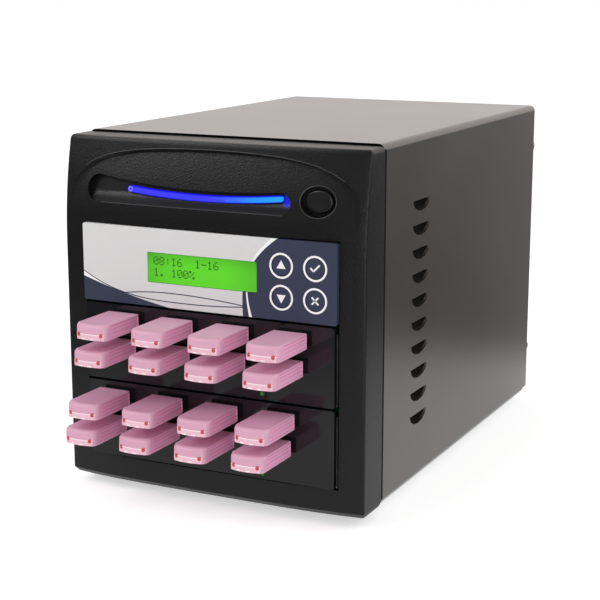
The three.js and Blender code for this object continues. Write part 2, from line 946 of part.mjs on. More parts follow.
function controlFascia() {
  const shape = roundedRectangle(-fasciaHalf, fasciaHalf, panelLow, panelHigh, panelCorner);
  const face = alongY(shape, panelFront, panelBack, 3);
  const postX = fasciaHalf - controlBoardTrim - postRadius;
  const postSpots = [
    [-postX, panelLow + postInset],
    [-postX, panelHigh - postInset],
    [postX, bayMiddle - keyDrop],
  ];
  const posts = postSpots.map(([x, z]) =>
    rodY(postRadius, panelBack - panelThickness / 2, controlBoardFront - seatGap, x, z, 12),
  );
  const holes = Object.values(keyPlaces()).map(([x, z]) =>
    rodY(
      keyRadius + seatGap,
      panelFront - cutOver,
      panelBack + boardStandoff,
      x,
      bayMiddle - keyDrop + z,
      20,
    ),
  );
  const window = alongY(windowShape(lcdRim + seatGap), panelFront - cutOver, panelBack + cutOver, 3);
  return cutBy(joined([face, ...posts]), [...holes, window]);
}

function controlKey() {
  const flange = keyRadius + keyFlangeReach;
  const flangeFront = panelThickness + seatGap;
  const dome = keyFlange / 4;
  return turnedY(
    [
      [0, 0],
      [keyRadius - dome, 0],
      [keyRadius, dome],
      [keyRadius, flangeFront],
      [flange, flangeFront],
      [flange, flangeFront + keyFlange],
      [0, flangeFront + keyFlange],
    ],
    0,
    0,
    20,
  );
}

function controlBoardBody() {
  const half = fasciaHalf - controlBoardTrim;
  const back = controlBoardFront + controlBoard;
  const low = trayLift + traySheet + seatGap;
  const high = panelHigh - controlBoardTrim;
  const plate = centredBlock(half, controlBoardFront, back, low, high);
  const top = panelBack + seatGap + keyFlange + keyTravel + seatGap;
  const switches = Object.values(keyPlaces()).map(([x, z]) => {
    const middle = bayMiddle - keyDrop + z;
    const side = switchSize / 2;
    const rear = controlBoardFront + controlBoard / 2;
    return block(x - side, x + side, top, rear, middle - side, middle + side);
  });
  return joined([plate, ...switches]);
}

// The display: a steel frame round the glass, standing on the control board.
function lcdModule() {
  const front = panelBack + seatGap;
  const back = controlBoardFront - seatGap;
  const halfWidth = lcdWidth / 2 + lcdFrameSide;
  const halfHeight = lcdHeight / 2 + lcdFrameTop;
  const body = block(
    windowMiddle - halfWidth,
    windowMiddle + halfWidth,
    front,
    back,
    bayMiddle - halfHeight,
    bayMiddle + halfHeight,
  );
  const glass = alongY(windowShape(0), front - cutOver, front + lcdGlassDrop, 3);
  return body.subtract(glass);
}

function lcdWindow() {
  return alongY(windowShape(lcdRim), panelFront + keyFlange / 4, panelBack, 3);
}

// A flash drive's outline at one height, seen from above. Its front corners are crisp at the foot
// and round at the top, and its front and its sides may stand in.
function driveRing(z, frontIn, sideIn) {
  const cornerSteps = 2;
  const noseSteps = 4;
  const rise = z / driveHeight + 1 / 2;
  const corner = driveCornerLow + (driveCornerHigh - driveCornerLow) * rise;
  const straight = driveWidth / 2 - corner;
  const half = driveWidth / 2 - sideIn;
  const front = frontIn - driveLength;
  const turn = (side, angle) => {
    const x = side * (straight + (corner - sideIn) * Math.cos(angle));
    return new THREE.Vector3(x, front + corner * (1 - Math.sin(angle)), z);
  };
  const ring = [new THREE.Vector3(half, 0, z), new THREE.Vector3(-half, 0, z)];
  for (let i = 0; i <= cornerSteps; i += 1) {
    ring.push(turn(-1, (i / cornerSteps) * (Math.PI / 2)));
  }
  for (let i = 1; i < noseSteps; i += 1) {
    const share = (2 * i) / noseSteps - 1;
    ring.push(new THREE.Vector3(share * straight, front - driveBulge * (1 - share * share), z));
  }
  for (let i = cornerSteps; i >= 0; i -= 1) {
    ring.push(turn(1, (i / cornerSteps) * (Math.PI / 2)));
  }
  return ring;
}

// A flash drive, with its plug towards +y.
function flashDrive() {
  const half = driveWidth / 2;
  const top = driveHeight / 2;
  const nose = cornerShares.map((share) => {
    const depth = share * driveNose;
    return driveRing(top - depth, roundIn(driveNose, depth), roundIn(driveEdge, depth));
  });
  const body = loft([driveRing(-top, 0, 0), driveRing(top - driveNose, 0, 0), ...nose]);
  const recessHalf = driveHeight / 2 - driveRecessRim;
  const recesses = [-1, 1].map((side) => {
    const inner = side * (half - driveRecessDepth);
    const outer = side * (half + cutOver);
    return block(
      Math.min(inner, outer),
      Math.max(inner, outer),
      -driveLength + driveRecessStop,
      cutOver,
      -recessHalf,
      recessHalf,
    );
  });
  const plugHalf = plugWidth / 2;
  const plug = centredBlock(plugHalf, -cutOver, plugLength, -plugHeight / 2, plugHeight / 2);
  const pocketStart = plugBared + seatGap;
  const pocket = centredBlock(
    plugHalf - plugWall,
    pocketStart,
    plugLength + cutOver,
    0,
    plugHeight / 2 - plugWall,
  );
  return cutBy(body, recesses).add(plug).subtract(pocket);
}

// Power supply, with pockets in its rear face for the inlet and the rocker switch.
const psuLow = frameFoot;
const psuMiddleZ = psuLow + psuHeight / 2;
const inletX = -psuWidth * inletShare;
const inletFlangeHalf = inletWidth / 2 + inletWall + inletFlangeReach;
const rockerHousingHalfX = rockerWidth / 2 + seatGap + rockerWall;
const rockerHousingHalfZ = rockerRadius + seatGap + rockerWall;
const rockerHousingDepth = rockerRadius + seatGap + rockerWall - rockerPivot;
const rockerFlangeHalf = rockerHousingHalfX + rockerFlange;
const rockerX = inletX + inletFlangeHalf + switchSpace + rockerFlangeHalf;
const grilleLeft = rockerX + rockerFlangeHalf + psuGrilleMargin;
const grilleHalf = (psuWidth / 2 - psuLip - psuGrilleMargin / 2 - grilleLeft) / 2;

function powerSupply() {
  const box = centredBlock(psuWidth / 2, psuFront, psuRear, psuLow, psuLow + psuHeight);
  const inletHalfX = inletWidth / 2 + inletWall + seatGap;
  const inletHalfZ = inletHeight / 2 + inletWall + seatGap;
  const inletPocket = block(
    inletX - inletHalfX,
    inletX + inletHalfX,
    psuRear - inletDepth - inletWall - seatGap,
    psuRear + cutOver,
    psuMiddleZ - inletHalfZ,
    psuMiddleZ + inletHalfZ,
  );
  const rockerHalfX = rockerHousingHalfX + seatGap;
  const rockerHalfZ = rockerHousingHalfZ + seatGap;
  const rockerPocket = block(
    rockerX - rockerHalfX,
    rockerX + rockerHalfX,
    psuRear - rockerHousingDepth - seatGap,
    psuRear + cutOver,
    psuMiddleZ - rockerHalfZ,
    psuMiddleZ + rockerHalfZ,
  );
  const slots = [];
  for (let i = 0; i < psuGrilleSlots; i += 1) {
    const z = psuMiddleZ + (i - (psuGrilleSlots - 1) / 2) * psuSlotPitch;
    const share = Math.cos(((i - (psuGrilleSlots - 1) / 2) / psuGrilleSlots) * 2);
    slots.push(
      block(
        grilleLeft + grilleHalf * (1 - share),
        grilleLeft + grilleHalf * (1 + share),
        psuRear - psuSlotDepth,
        psuRear + cutOver,
        z - psuSlotHeight / 2,
        z + psuSlotHeight / 2,
      ),
    );
  }
  return cutBy(box, [inletPocket, rockerPocket, ...slots]);
}

// The inlet's outline has two chamfered lower corners.
function inletShape(grow) {
  const halfX = inletWidth / 2 + grow;
  const halfZ = inletHeight / 2 + grow;
  const corner = inletCorner;
  return polygon([
    [-halfX + corner, -halfZ],
    [halfX - corner, -halfZ],
    [halfX, -halfZ + corner],
    [halfX, halfZ],
    [-halfX, halfZ],
    [-halfX, -halfZ + corner],
  ]);
}

function powerInlet() {
  const back = psuRear - inletDepth;
  const flangeFront = psuRear + seatGap;
  const flangeHalfX = inletFlangeHalf;
  const flangeHalfZ = inletHeight / 2 + inletWall + inletFlangeReach;
  const flange = alongY(
    roundedRectangle(-flangeHalfX, flangeHalfX, -flangeHalfZ, flangeHalfZ, inletFlangeReach),
    flangeFront,
    flangeFront + inletFlange,
    3,
  );
  const body = alongY(inletShape(inletWall), back - inletWall, flangeFront + inletFlange);
  const hollow = alongY(inletShape(0), back, flangeFront + inletFlange + cutOver);
  const pins = [-1, 0, 1].map((place) => {
    const x = place * pinPitch;
    const z = place === 0 ? pinRise : -pinRise;
    return block(
      x - pinThickness / 2,
      x + pinThickness / 2,
      back - inletWall / 2,
      back + pinLength,
      z - pinWidth / 2,
      z + pinWidth / 2,
    );
  });
  return joined([flange.add(body).subtract(hollow), ...pins]);
}

const rockerPivotY = psuRear + rockerPivot;

// The rocker's housing, round an axis along x.
function rockerHousing() {
  const halfX = rockerHousingHalfX;
  const halfZ = rockerHousingHalfZ;
  const flangeFront = psuRear + seatGap;
  const flange = block(
    -halfX - rockerFlange,
    halfX + rockerFlange,
    flangeFront,
    flangeFront + rockerFlange,
    -halfZ - rockerFlange,
    halfZ + rockerFlange,
  );
  const body = block(-halfX, halfX, psuRear - rockerHousingDepth, flangeFront + rockerFlange, -halfZ, halfZ);
  const well = block(
    -halfX + rockerWall,
    halfX - rockerWall,
    psuRear - rockerHousingDepth + rockerWall,
    flangeFront + rockerFlange + cutOver,
    -halfZ + rockerWall,
    halfZ - rockerWall,
  );
  return flange.add(body).subtract(well);
}

// The rocker: a round-bottomed wedge with two shallow faces, tilted to one side at rest.
function powerRocker() {
  const half = rockerWidth / 2;
  const brow = THREE.MathUtils.degToRad(rockerBrow);
  const tilt = THREE.MathUtils.degToRad(rockerTilt);
  const shape = new THREE.Shape();
  const crest = rockerRadius * Math.sin(brow);
  shape.moveTo(crest, -rockerRadius * Math.cos(brow));
  shape.lineTo(crest - rockerDish, 0);
  shape.lineTo(crest, rockerRadius * Math.cos(brow));
  shape.absarc(0, 0, rockerRadius, Math.PI / 2 - brow, 1.5 * Math.PI + brow);
  const geometry = extruded(shape, 2 * half, 10);
  const turn = new THREE.Matrix4().makeBasis(
    new THREE.Vector3(0, 1, 0),
    new THREE.Vector3(0, 0, 1),
    new THREE.Vector3(1, 0, 0),
  );
  geometry.applyMatrix4(turn);
  geometry.translate(-half, 0, 0);
  geometry.rotateX(-tilt);
  return solid(geometry);
}

// Rear panel: an opening for the fan, one for the supply's face, and slots for air.
function rearPanel() {
  const plate = centredBlock(frameHalf, rearInner, rearOuter, frameFoot, frameTop);
  const y0 = rearInner - cutOver;
  const y1 = rearOuter + cutOver;
  const fanHole = rodY(fanSize / 2 - fanWall, y0, y1, 0, fanMiddle, 32);
  const supply = centredBlock(psuWidth / 2 - psuLip, y0, y1, psuLow + psuLip, psuLow + psuHeight - psuLip);
  const slots = [];
  for (let i = 0; i < ventCount; i += 1) {
    const x = (i - (ventCount - 1) / 2) * ventPitch;
    slots.push(
      block(
        x - ventWidth / 2,
        x + ventWidth / 2,
        y0,
        y1,
        frameTop - ventMargin - ventLength,
        frameTop - ventMargin,
      ),
    );
  }
  const holes = screwPlaces().map(([x, z]) => rodY(screwRadius + seatGap, y0, y1, x, z, 12));
  return cutBy(plate, [fanHole, supply, ...slots, ...holes]);
}

// Rear fan: a square frame whose struts carry the motor, and the rotor on its shaft.
const fanRear = rearInner - seatGap;
const fanFront = fanRear - fanDepth;
const fanBore = fanSize / 2 - fanWall;

function fanFrame() {
  const half = fanSize / 2;
  const frame = alongY(roundedRectangle(-half, half, -half, half, fanWall), fanFront, fanRear, 3);
  const holeX = half - fanHoleInset;
  const holes = [];
  for (const x of [-holeX, holeX]) {
    for (const z of [-holeX, holeX]) {
      holes.push(rodY(fanHoleRadius, fanFront - cutOver, fanRear + cutOver, x, z, 8));
    }
  }
  const ring = cutBy(frame, [rodY(fanBore, fanFront - cutOver, fanRear + cutOver, 0, 0, 28), ...holes]);
  const struts = [0, 1].map((turn) => {
    const geometry = new THREE.BoxGeometry(2 * fanBore + fanWall, fanStrut, fanStrut);
    geometry.rotateY(Math.PI / 4 + (turn * Math.PI) / 2);
    geometry.translate(0, fanFront + fanStrut / 2, 0);
    return solid(geometry);
  });
  const motor = rodY(fanHub, fanFront, fanFront + fanStrut, 0, 0, 16);
  const shaft = rodY(fanShaft, fanFront, fanRear - fanStrut, 0, 0, 8);
  return joined([ring, ...struts, motor, shaft]);
}

// One blade, from inside the hub to near the bore, less steep towards its tip.
function fanBlade(angle, middle) {
  const shares = [0, 0.5, 1];
  const root = fanHub - bladeThickness;
  const tip = fanBore - fanTipGap;
  const rings = shares.map((share) => {
    const radius = root + (tip - root) * share;
    const tilt = THREE.MathUtils.degToRad(bladeRootTilt + (bladeTipTilt - bladeRootTilt) * share);
    const along = new THREE.Vector2(Math.cos(tilt), Math.sin(tilt)).multiplyScalar(bladeChord / 2);
    const across = new THREE.Vector2(-Math.sin(tilt), Math.cos(tilt)).multiplyScalar(bladeThickness / 2);
    const corners = [
      [-along.x - across.x, -along.y - across.y],
      [along.x - across.x, along.y - across.y],
      [along.x + across.x, along.y + across.y],
      [-along.x + across.x, -along.y + across.y],
    ];
    return corners.map(([x, y]) => new THREE.Vector3(x, middle + y, radius));
  });
  const body = loft(rings);
  const geometry = geometryOf(body);
  geometry.rotateY(angle);
  return solid(geometry);
}

function fanRotor() {
  const front = fanFront + fanStrut + seatGap;
  const back = fanRear - fanStrut / 2;
  const hub = rodY(fanHub, front, back, 0, 0, 16);
  const blades = [];
  for (let i = 0; i < bladeCount; i += 1) {
    blades.push(fanBlade((i / bladeCount) * 2 * Math.PI, (front + back) / 2));
  }
  const bore = rodY(fanShaft + seatGap, front - cutOver, fanRear - fanStrut + seatGap, 0, 0, 8);
  return joined([hub, ...blades]).subtract(bore);
}

// Finger guard: wire rings on two crossed wires that end in flat eyes over the frame's holes.
function fanGuard() {
  const y = rearOuter + seatGap + guardWire;
  const rings = [];
  for (let i = 0; i < guardRings; i += 1) {
    const radius = fanBore * ((i + 1) / guardRings) - guardWire * 2;
    const points = [];
    const sides = 4;
    for (let k = 0; k <= sides; k += 1) {
      const angle = (k / sides) * 2 * Math.PI;
      points.push([radius + guardWire * Math.cos(angle), y + guardWire * Math.sin(angle)]);
    }
    rings.push(turnedY(points, 0, 0, 16));
  }
  const holeX = fanSize / 2 - fanHoleInset;
  const wires = [0, 1].map((turn) => {
    const geometry = new THREE.CylinderGeometry(guardWire, guardWire, 2 * Math.SQRT2 * holeX, 6);
    geometry.rotateZ(Math.PI / 2);
    geometry.rotateY(Math.PI / 4 + (turn * Math.PI) / 2);
    geometry.translate(0, y, 0);
    return solid(geometry);
  });
  const eyes = [];
  for (const x of [-holeX, holeX]) {
    for (const z of [-holeX, holeX]) {
      eyes.push(rodY(fanHoleRadius + guardWire, y - guardWire, y + guardWire, x, z, 6));
    }
  }
  return joined([...rings, ...wires, ...eyes]);
}

function thumbScrew() {
  const head = rodY(screwHeadRadius, seatGap, seatGap + screwHeadLength, 0, 0, 16);
  const shank = rodY(screwRadius, -coverSheet - frameSheet - cutOver, seatGap + cutOver, 0, 0, 8);
  return head.add(shank);
}

function rubberFoot() {
  const points = [
    [0, -footHeight],
    [footRadius - 2 * footTaper, -footHeight],
    [footRadius - footTaper, -footHeight + footTaper],
    [footRadius, 0],
    [0, 0],
  ];
  const profile = points.map(([radius, z]) => new THREE.Vector2(radius, z));
  const geometry = new THREE.LatheGeometry(profile, 18);
  geometry.rotateX(Math.PI / 2);
  return solid(geometry);
}

// Assembly.
function caseGroup() {
  const group = new THREE.Group();
  group.add(piece("case_cover", caseCover(), finishes.paint));
  group.add(piece("base_pan", basePan(), finishes.steel));
  group.add(piece("front_frame", frontFrame(), finishes.steel));
  group.add(piece("bay_rail_left", bayRail(-1), finishes.steel));
  group.add(piece("bay_rail_right", bayRail(1), finishes.steel));
  group.add(piece("rear_panel", rearPanel(), finishes.steel));
  screwPlaces().forEach(([x, z], i) => {
    group.add(placed(piece(`thumb_screw_${i + 1}`, thumbScrew(), finishes.steel), x, caseDepth, z));
  });
  const footX = caseWidth / 2 - footInset;
  const footY = [footInset, caseDepth - footInset];
  let count = 0;
  for (const y of footY) {
    for (const x of [-footX, footX]) {
      count += 1;
      group.add(placed(piece(`foot_${count}`, rubberFoot(), finishes.rubber), x, y, -panDrop - seatGap));
    }
  }
  return group;
}

function bezelGroup() {
  const group = new THREE.Group();
  group.add(piece("front_bezel", frontBezel(), finishes.moulding));
  group.add(piece("led_light_bar", lightBar(), finishes.blue));
  group.add(piece("power_button", powerButton(), finishes.moulding));
  group.add(piece("front_board", frontBoardBody(), finishes.board));
  return group;
}

function driveBank(bankShift, firstNumber) {
  const group = new THREE.Group();
  portPlaces(bankShift).forEach(([x, z], i) => {
    const drive = piece(`flash_drive_${firstNumber + i}`, flashDrive(), finishes.pink);
    group.add(placed(drive, x, panelFront - plugBared, z));
  });
  return group;
}

const lampX = bayWidth / 2 - activityInset;

function usbBay(name, bankShift, firstNumber) {
  const group = new THREE.Group();
  group.add(piece(`usb_panel_${name}`, usbPanel(bankShift, lampX), finishes.glossPanel));
  group.add(piece(`usb_board_${name}`, usbBoard(bankShift), finishes.board));
  group.add(piece(`bay_tray_${name}`, bayTray(), finishes.steel));
  const lamp = piece(`activity_lamp_${name}`, activityLamp(), finishes.green);
  group.add(placed(lamp, lampX, 0, panelLow + activityLift));
  group.add(driveBank(bankShift, firstNumber));
  return group;
}

function controlBay() {
  const group = new THREE.Group();
  group.add(piece("control_fascia", controlFascia(), finishes.overlay));
  group.add(piece("lcd_window", lcdWindow(), finishes.lcd));
  group.add(piece("lcd_module", lcdModule(), finishes.steel));
  group.add(piece("control_board", controlBoardBody(), finishes.board));
  group.add(piece("bay_tray_control", bayTray(), finishes.steel));
  for (const [name, [x, z]] of Object.entries(keyPlaces())) {
    group.add(placed(piece(name, controlKey(), finishes.navy), x, panelFront, bayMiddle - keyDrop + z));
  }
  return group;
}

function baysGroup() {
  const group = new THREE.Group();
  const perBank = driveColumns * driveRows;
  const bays = [
    usbBay("lower", lowerBankShift, perBank + 1),
    usbBay("upper", upperBankShift, 1),
    controlBay(),
  ];
  bays.forEach((bay, i) => {
    bay.position.z = bayFloor + i * bayPitch;
    group.add(bay);
  });
  return group;
}

function powerGroup() {
  const group = new THREE.Group();
  group.add(piece("power_supply", powerSupply(), finishes.steel));
  group.add(placed(piece("power_inlet", powerInlet(), finishes.moulding), inletX, 0, psuMiddleZ));
  group.add(placed(piece("rocker_housing", rockerHousing(), finishes.moulding), rockerX, 0, psuMiddleZ));
  const rocker = piece("power_rocker", powerRocker(), finishes.moulding);
  group.add(placed(rocker, rockerX, rockerPivotY, psuMiddleZ));
  return group;
}

function fanGroup() {
  const group = new THREE.Group();
  group.add(piece("fan_frame", fanFrame(), finishes.moulding));
  group.add(piece("fan_rotor", fanRotor(), finishes.moulding));
  group.add(piece("fan_guard", fanGuard(), finishes.steel));
  group.position.z = fanMiddle;
  return group;
}

const duplicator = new THREE.Group();
duplicator.add(caseGroup(), bezelGroup(), baysGroup(), powerGroup(), fanGroup());

// The origin is the middle of the footprint, on the surface that the feet stand on.
const extent = new THREE.Box3().setFromObject(duplicator);
const middle = extent.getCenter(new THREE.Vector3());
duplicator.position.set(-middle.x, -middle.y, -extent.min.z);

export default duplicator;
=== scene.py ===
import bpy
import bmesh
import math
from mathutils import Matrix, Vector
from mathutils.bvhtree import BVHTree


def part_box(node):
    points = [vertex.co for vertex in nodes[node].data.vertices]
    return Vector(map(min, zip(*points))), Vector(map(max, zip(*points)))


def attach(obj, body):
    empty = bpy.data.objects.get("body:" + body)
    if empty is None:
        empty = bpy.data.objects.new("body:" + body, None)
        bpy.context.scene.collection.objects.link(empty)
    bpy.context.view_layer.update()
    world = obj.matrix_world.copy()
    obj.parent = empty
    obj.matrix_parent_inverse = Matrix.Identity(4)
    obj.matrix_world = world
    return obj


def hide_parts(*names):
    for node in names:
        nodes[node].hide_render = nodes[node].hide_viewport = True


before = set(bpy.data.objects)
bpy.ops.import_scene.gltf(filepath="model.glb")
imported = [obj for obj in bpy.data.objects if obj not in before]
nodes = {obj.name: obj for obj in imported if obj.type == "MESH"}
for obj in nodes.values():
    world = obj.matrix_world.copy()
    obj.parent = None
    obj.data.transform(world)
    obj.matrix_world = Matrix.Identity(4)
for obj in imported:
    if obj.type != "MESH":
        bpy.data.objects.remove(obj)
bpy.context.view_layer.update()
scene = bpy.context.scene
mm = 0.001
tiny = 0.001 * mm  # two points closer than this are one
crease = 35  # degrees of turn at which a rounded piece gets a sharp edge
quarter = math.pi / 4
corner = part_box("case_cover")[0]
origin = (0, corner[1], corner[2])  # the cover's lower front edge, from which patterns are measured
print("frame loaded:", len(nodes), "nodes")

# where the photographer stood, in millimetres from the cover's lower front edge
camera = {
    "azimuth": 26.06, "elevation": 12.36, "lens": 88.67, "sensor": 36, "nearest": 0.01,
    "place": (367.98, -670.66, 265.60),
}


def addCamera():
    data = bpy.data.cameras.new("camera")
    data.lens = camera["lens"]
    data.sensor_width = camera["sensor"]
    data.clip_start = camera["nearest"]
    item = bpy.data.objects.new("camera", data)
    item.location = [start + way * mm for start, way in zip(origin, camera["place"])]
    item.rotation_euler = (math.radians(90 - camera["elevation"]), 0, math.radians(camera["azimuth"]))
    scene.collection.objects.link(item)
    scene.camera = item


addCamera()
print("camera placed")


def tone(text):
    # "#rrggbb" as it looks on screen, to the linear colour that a socket wants
    parts = [int(text[i:i + 2], 16) / 255 for i in (1, 3, 5)]
    linear = [p / 12.92 if p <= 0.04045 else ((p + 0.055) / 1.055) ** 2.4 for p in parts]
    return (*linear, 1)


def grey(level):
    return (level, level, level, 1)


class Wire:
    # an output socket that can be added, multiplied and compared like a number
    def __init__(self, paint, socket):
        self.paint = paint
        self.socket = socket

    def math(self, operation, first, second=0.0):
        return self.paint.node("ShaderNodeMath", {"operation": operation}, [first, second])

    def __add__(self, other):
        return self.math("ADD", self, other)

    def __radd__(self, other):
        return self.math("ADD", other, self)

    def __sub__(self, other):
        return self.math("SUBTRACT", self, other)

    def __rsub__(self, other):
        return self.math("SUBTRACT", other, self)

    def __mul__(self, other):
        return self.math("MULTIPLY", self, other)

    def __rmul__(self, other):
        return self.math("MULTIPLY", other, self)

    def __truediv__(self, other):
        return self.math("DIVIDE", self, other)

    def __gt__(self, other):
        return self.math("GREATER_THAN", self, other)

    def __lt__(self, other):
        return self.math("LESS_THAN", self, other)

    def __mod__(self, other):
        return self.math("FLOORED_MODULO", self, other)

    def __abs__(self):
        return self.math("ABSOLUTE", self)

    def root(self):
        return self.math("SQRT", self)

    def most(self, other):
        return self.math("MAXIMUM", self, other)

    def clear(self, low, high):
        # 0 below low, 1 above high, smooth between
        inputs = {"Value": self, "From Min": low, "From Max": high}
        return self.paint.node("ShaderNodeMapRange", {"interpolation_type": "SMOOTHSTEP"}, inputs)

    def about(self, centre, spread):
        # a pattern from 0 to 1 becomes a value that varies about a centre
        return self * spread + (centre - spread / 2)


class Paint:
    # one material, with its nodes made by name
    def __init__(self, name):
        self.material = bpy.data.materials.new(name)
        self.material.use_nodes = True
        self.tree = self.material.node_tree
        self.tree.nodes.clear()
        self.out = self.tree.nodes.new("ShaderNodeOutputMaterial")
        self.place = None

    def node(self, kind, settings=None, inputs=None, output=0):
        made = self.tree.nodes.new(kind)
        for key, value in (settings or {}).items():
            setattr(made, key, value)
        pairs = inputs.items() if isinstance(inputs, dict) else enumerate(inputs or [])
        for key, value in pairs:
            self.feed(made.inputs[key], value)
        return Wire(self, made.outputs[output])

    def feed(self, socket, value):
        if isinstance(value, Wire):
            self.tree.links.new(value.socket, socket)
        else:
            socket.default_value = value

    def where(self):
        # the point on the piece, in metres, in the frame of the whole object
        if self.place is None:
            self.place = self.node("ShaderNodeTexCoord", output="Object")
        return self.place

    def axes(self):
        # the same point in millimetres, from the cover's lower front edge
        split = self.node("ShaderNodeSeparateXYZ", None, [self.where()])
        ends = [Wire(self, split.socket.node.outputs[i]) for i in range(3)]
        return [(end - start) / mm for end, start in zip(ends, origin)]

    def noise(self, scale, detail=2.0, roughness=0.5, stretch=None):
        spot = self.where()
        if stretch:
            spot = self.node("ShaderNodeMapping", None, {"Vector": spot, "Scale": stretch})
        inputs = {"Vector": spot, "Scale": scale, "Detail": detail, "Roughness": roughness}
        return self.node("ShaderNodeTexNoise", None, inputs)

    def mix(self, factor, first, second):
        return self.node("ShaderNodeMix", {"data_type": "RGBA"}, {0: factor, 6: first, 7: second}, output=2)

    def bump(self, height, strength, distance):
        inputs = {"Height": height, "Strength": strength, "Distance": distance}
        return self.node("ShaderNodeBump", None, inputs)

    def surface(self, **sockets):
        inputs = {key.replace("_", " "): value for key, value in sockets.items()}
        shader = self.node("ShaderNodeBsdfPrincipled", None, inputs)
        self.tree.links.new(shader.socket, self.out.inputs["Surface"])
        return self.material


def wear(names, material):
    for name in names:
        mesh = nodes[name].data
        mesh.materials.clear()
        mesh.materials.append(material)


def middle(name):
    low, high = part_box(name)
    return [(a + b) / 2 for a, b in zip(low, high)]


def frontSpot(name):
    # the middle of a node as it is seen from the front, measured as the patterns are
    x, _, z = middle(name)
    return x / mm, (z - origin[2]) / mm


def distance(across, up):
    return (across * across + up * up).root()


def coverPaint():
    # satin paint on bent sheet; the louvres' inside and the sheet's edge in the front joint are painted
    # near-black and metallic: painted shade that reads as deep hollows
    look = {"dark": "#352f2b", "light": "#3d3632", "cloud": 14, "roughness": 0.34, "spread": 0.08}
    grit = {"size": 1500, "bump": 0.1, "height": 0.0003}
    coat = {"weight": 0.6, "roughness": 0.24, "tint": (1, 0.95, 0.92, 1)}
    # the colour, dullness and metal of the painted shade
    inside = {"colour": "#0b0a0a", "dull": 0.45, "metal": 0.85}
    skin = {"side": 86.4, "deep": 1.4, "louvres": 170, "edge": 0.04, "joint": 2.6}
    paint = Paint("satinPaint")
    x, y, z = paint.axes()
    cloud = paint.noise(look["cloud"], 3)
    grain = paint.noise(grit["size"], 2)
    colour = paint.mix(cloud.clear(0.3, 0.7), tone(look["dark"]), tone(look["light"]))
    # painted shade inside the louvres
    sunk = (skin["side"] - abs(x)).clear(0, skin["deep"]) * (z < skin["louvres"])
    # painted shade in the joint: the sheet's front edge, and a strip of each side behind it
    joint = (y < skin["edge"]).most((y < skin["joint"]) * (abs(x) > skin["side"]))
    paintedShade = sunk.most(joint)
    return paint.surface(
        Base_Color=paint.mix(paintedShade, colour, tone(inside["colour"])),
        Roughness=cloud.about(look["roughness"], look["spread"]) + paintedShade * inside["dull"],
        Metallic=paintedShade * inside["metal"], Normal=paint.bump(grain, grit["bump"], grit["height"]),
        Coat_Weight=(1 - paintedShade) * coat["weight"], Coat_Roughness=coat["roughness"],
        Specular_Tint=coat["tint"],
    )


def bezelMoulding():
    # grained black, with a painted glow of the light bar, speckled, on the wall at the groove's right end
    look = {"dark": "#0e0e0f", "light": "#131314", "cloud": 30, "roughness": 0.34, "spread": 0.12}
    grit = {"size": 1100, "bump": 0.7, "height": 0.0002}
    glow = {
        "x": 43.0, "z": 156.4, "core": 1.2, "reach": 5.4, "from": 40.2, "to": 43.4,
        "behind": -23.0, "start": 1.5, "colour": "#0c0cff", "power": 0.9,
    }
    specks = {"size": 700, "low": 0.3, "high": 0.62, "least": 0.45}
    paint = Paint("grainedMoulding")
    x, y, z = paint.axes()
    grain = paint.noise(grit["size"], 3, 0.6)
    colour = paint.mix(paint.noise(look["cloud"], 2), tone(look["dark"]), tone(look["light"]))
    # painted glow: the bar's light, painted on the moulding as emission
    away = distance(x - glow["x"], z - glow["z"])
    lit = 1 - away.clear(glow["core"], glow["reach"])
    lit = lit * y.clear(glow["behind"], glow["behind"] + glow["start"])
    speck = paint.noise(specks["size"], 2).clear(specks["low"], specks["high"])
    lit = lit * x.clear(glow["from"], glow["to"]) * (speck * (1 - specks["least"]) + specks["least"])
    return paint.surface(
        Base_Color=colour, Roughness=grain.about(look["roughness"], look["spread"]),
        Emission_Color=paint.mix(lit, grey(0), tone(glow["colour"])), Emission_Strength=glow["power"],
        Normal=paint.bump(grain, grit["bump"], grit["height"]), Specular_IOR_Level=0.35,
    )


def plainMoulding(name, dark, light, roughness):
    grit = {"size": 1600, "cloud": 60, "spread": 0.1, "bump": 0.15, "height": 0.0002}
    paint = Paint(name)
    grain = paint.noise(grit["size"], 2)
    return paint.surface(
        Base_Color=paint.mix(paint.noise(grit["cloud"], 2), tone(dark), tone(light)),
        Roughness=grain.about(roughness, grit["spread"]),
        Normal=paint.bump(grain, grit["bump"], grit["height"]),
    )


def zincSheet():
    # crystal patches under a faint brushing
    look = {"dark": "#94979a", "light": "#b4b6b7", "metal": 0.9, "roughness": 0.36, "spread": 0.08}
    patches = {"size": 130, "share": 0.4}
    strokes = {"size": 90, "stretch": (1, 0.06, 1), "bump": 0.05, "height": 0.0002}
    paint = Paint("zincSheet")
    inputs = {"Vector": paint.where(), "Scale": patches["size"]}
    spangle = paint.node("ShaderNodeTexVoronoi", None, inputs, output="Color")
    patch = paint.node("ShaderNodeSeparateColor", None, [spangle])
    brush = paint.noise(strokes["size"], 3, 0.6, strokes["stretch"])
    blend = patch * patches["share"] + brush * (1 - patches["share"])
    return paint.surface(
        Base_Color=paint.mix(blend, tone(look["dark"]), tone(look["light"])), Metallic=look["metal"],
        Roughness=patch.about(look["roughness"], look["spread"]),
        Normal=paint.bump(brush, strokes["bump"], strokes["height"]),
    )


def brightWire():
    look = {"dark": "#a9abad", "light": "#d0d2d3", "brush": 700, "roughness": 0.23, "spread": 0.1}
    paint = Paint("brightWire")
    brush = paint.noise(look["brush"], 2, 0.6)
    return paint.surface(
        Base_Color=paint.mix(brush, tone(look["dark"]), tone(look["light"])), Metallic=1.0,
        Roughness=brush.about(look["roughness"], look["spread"]),
    )


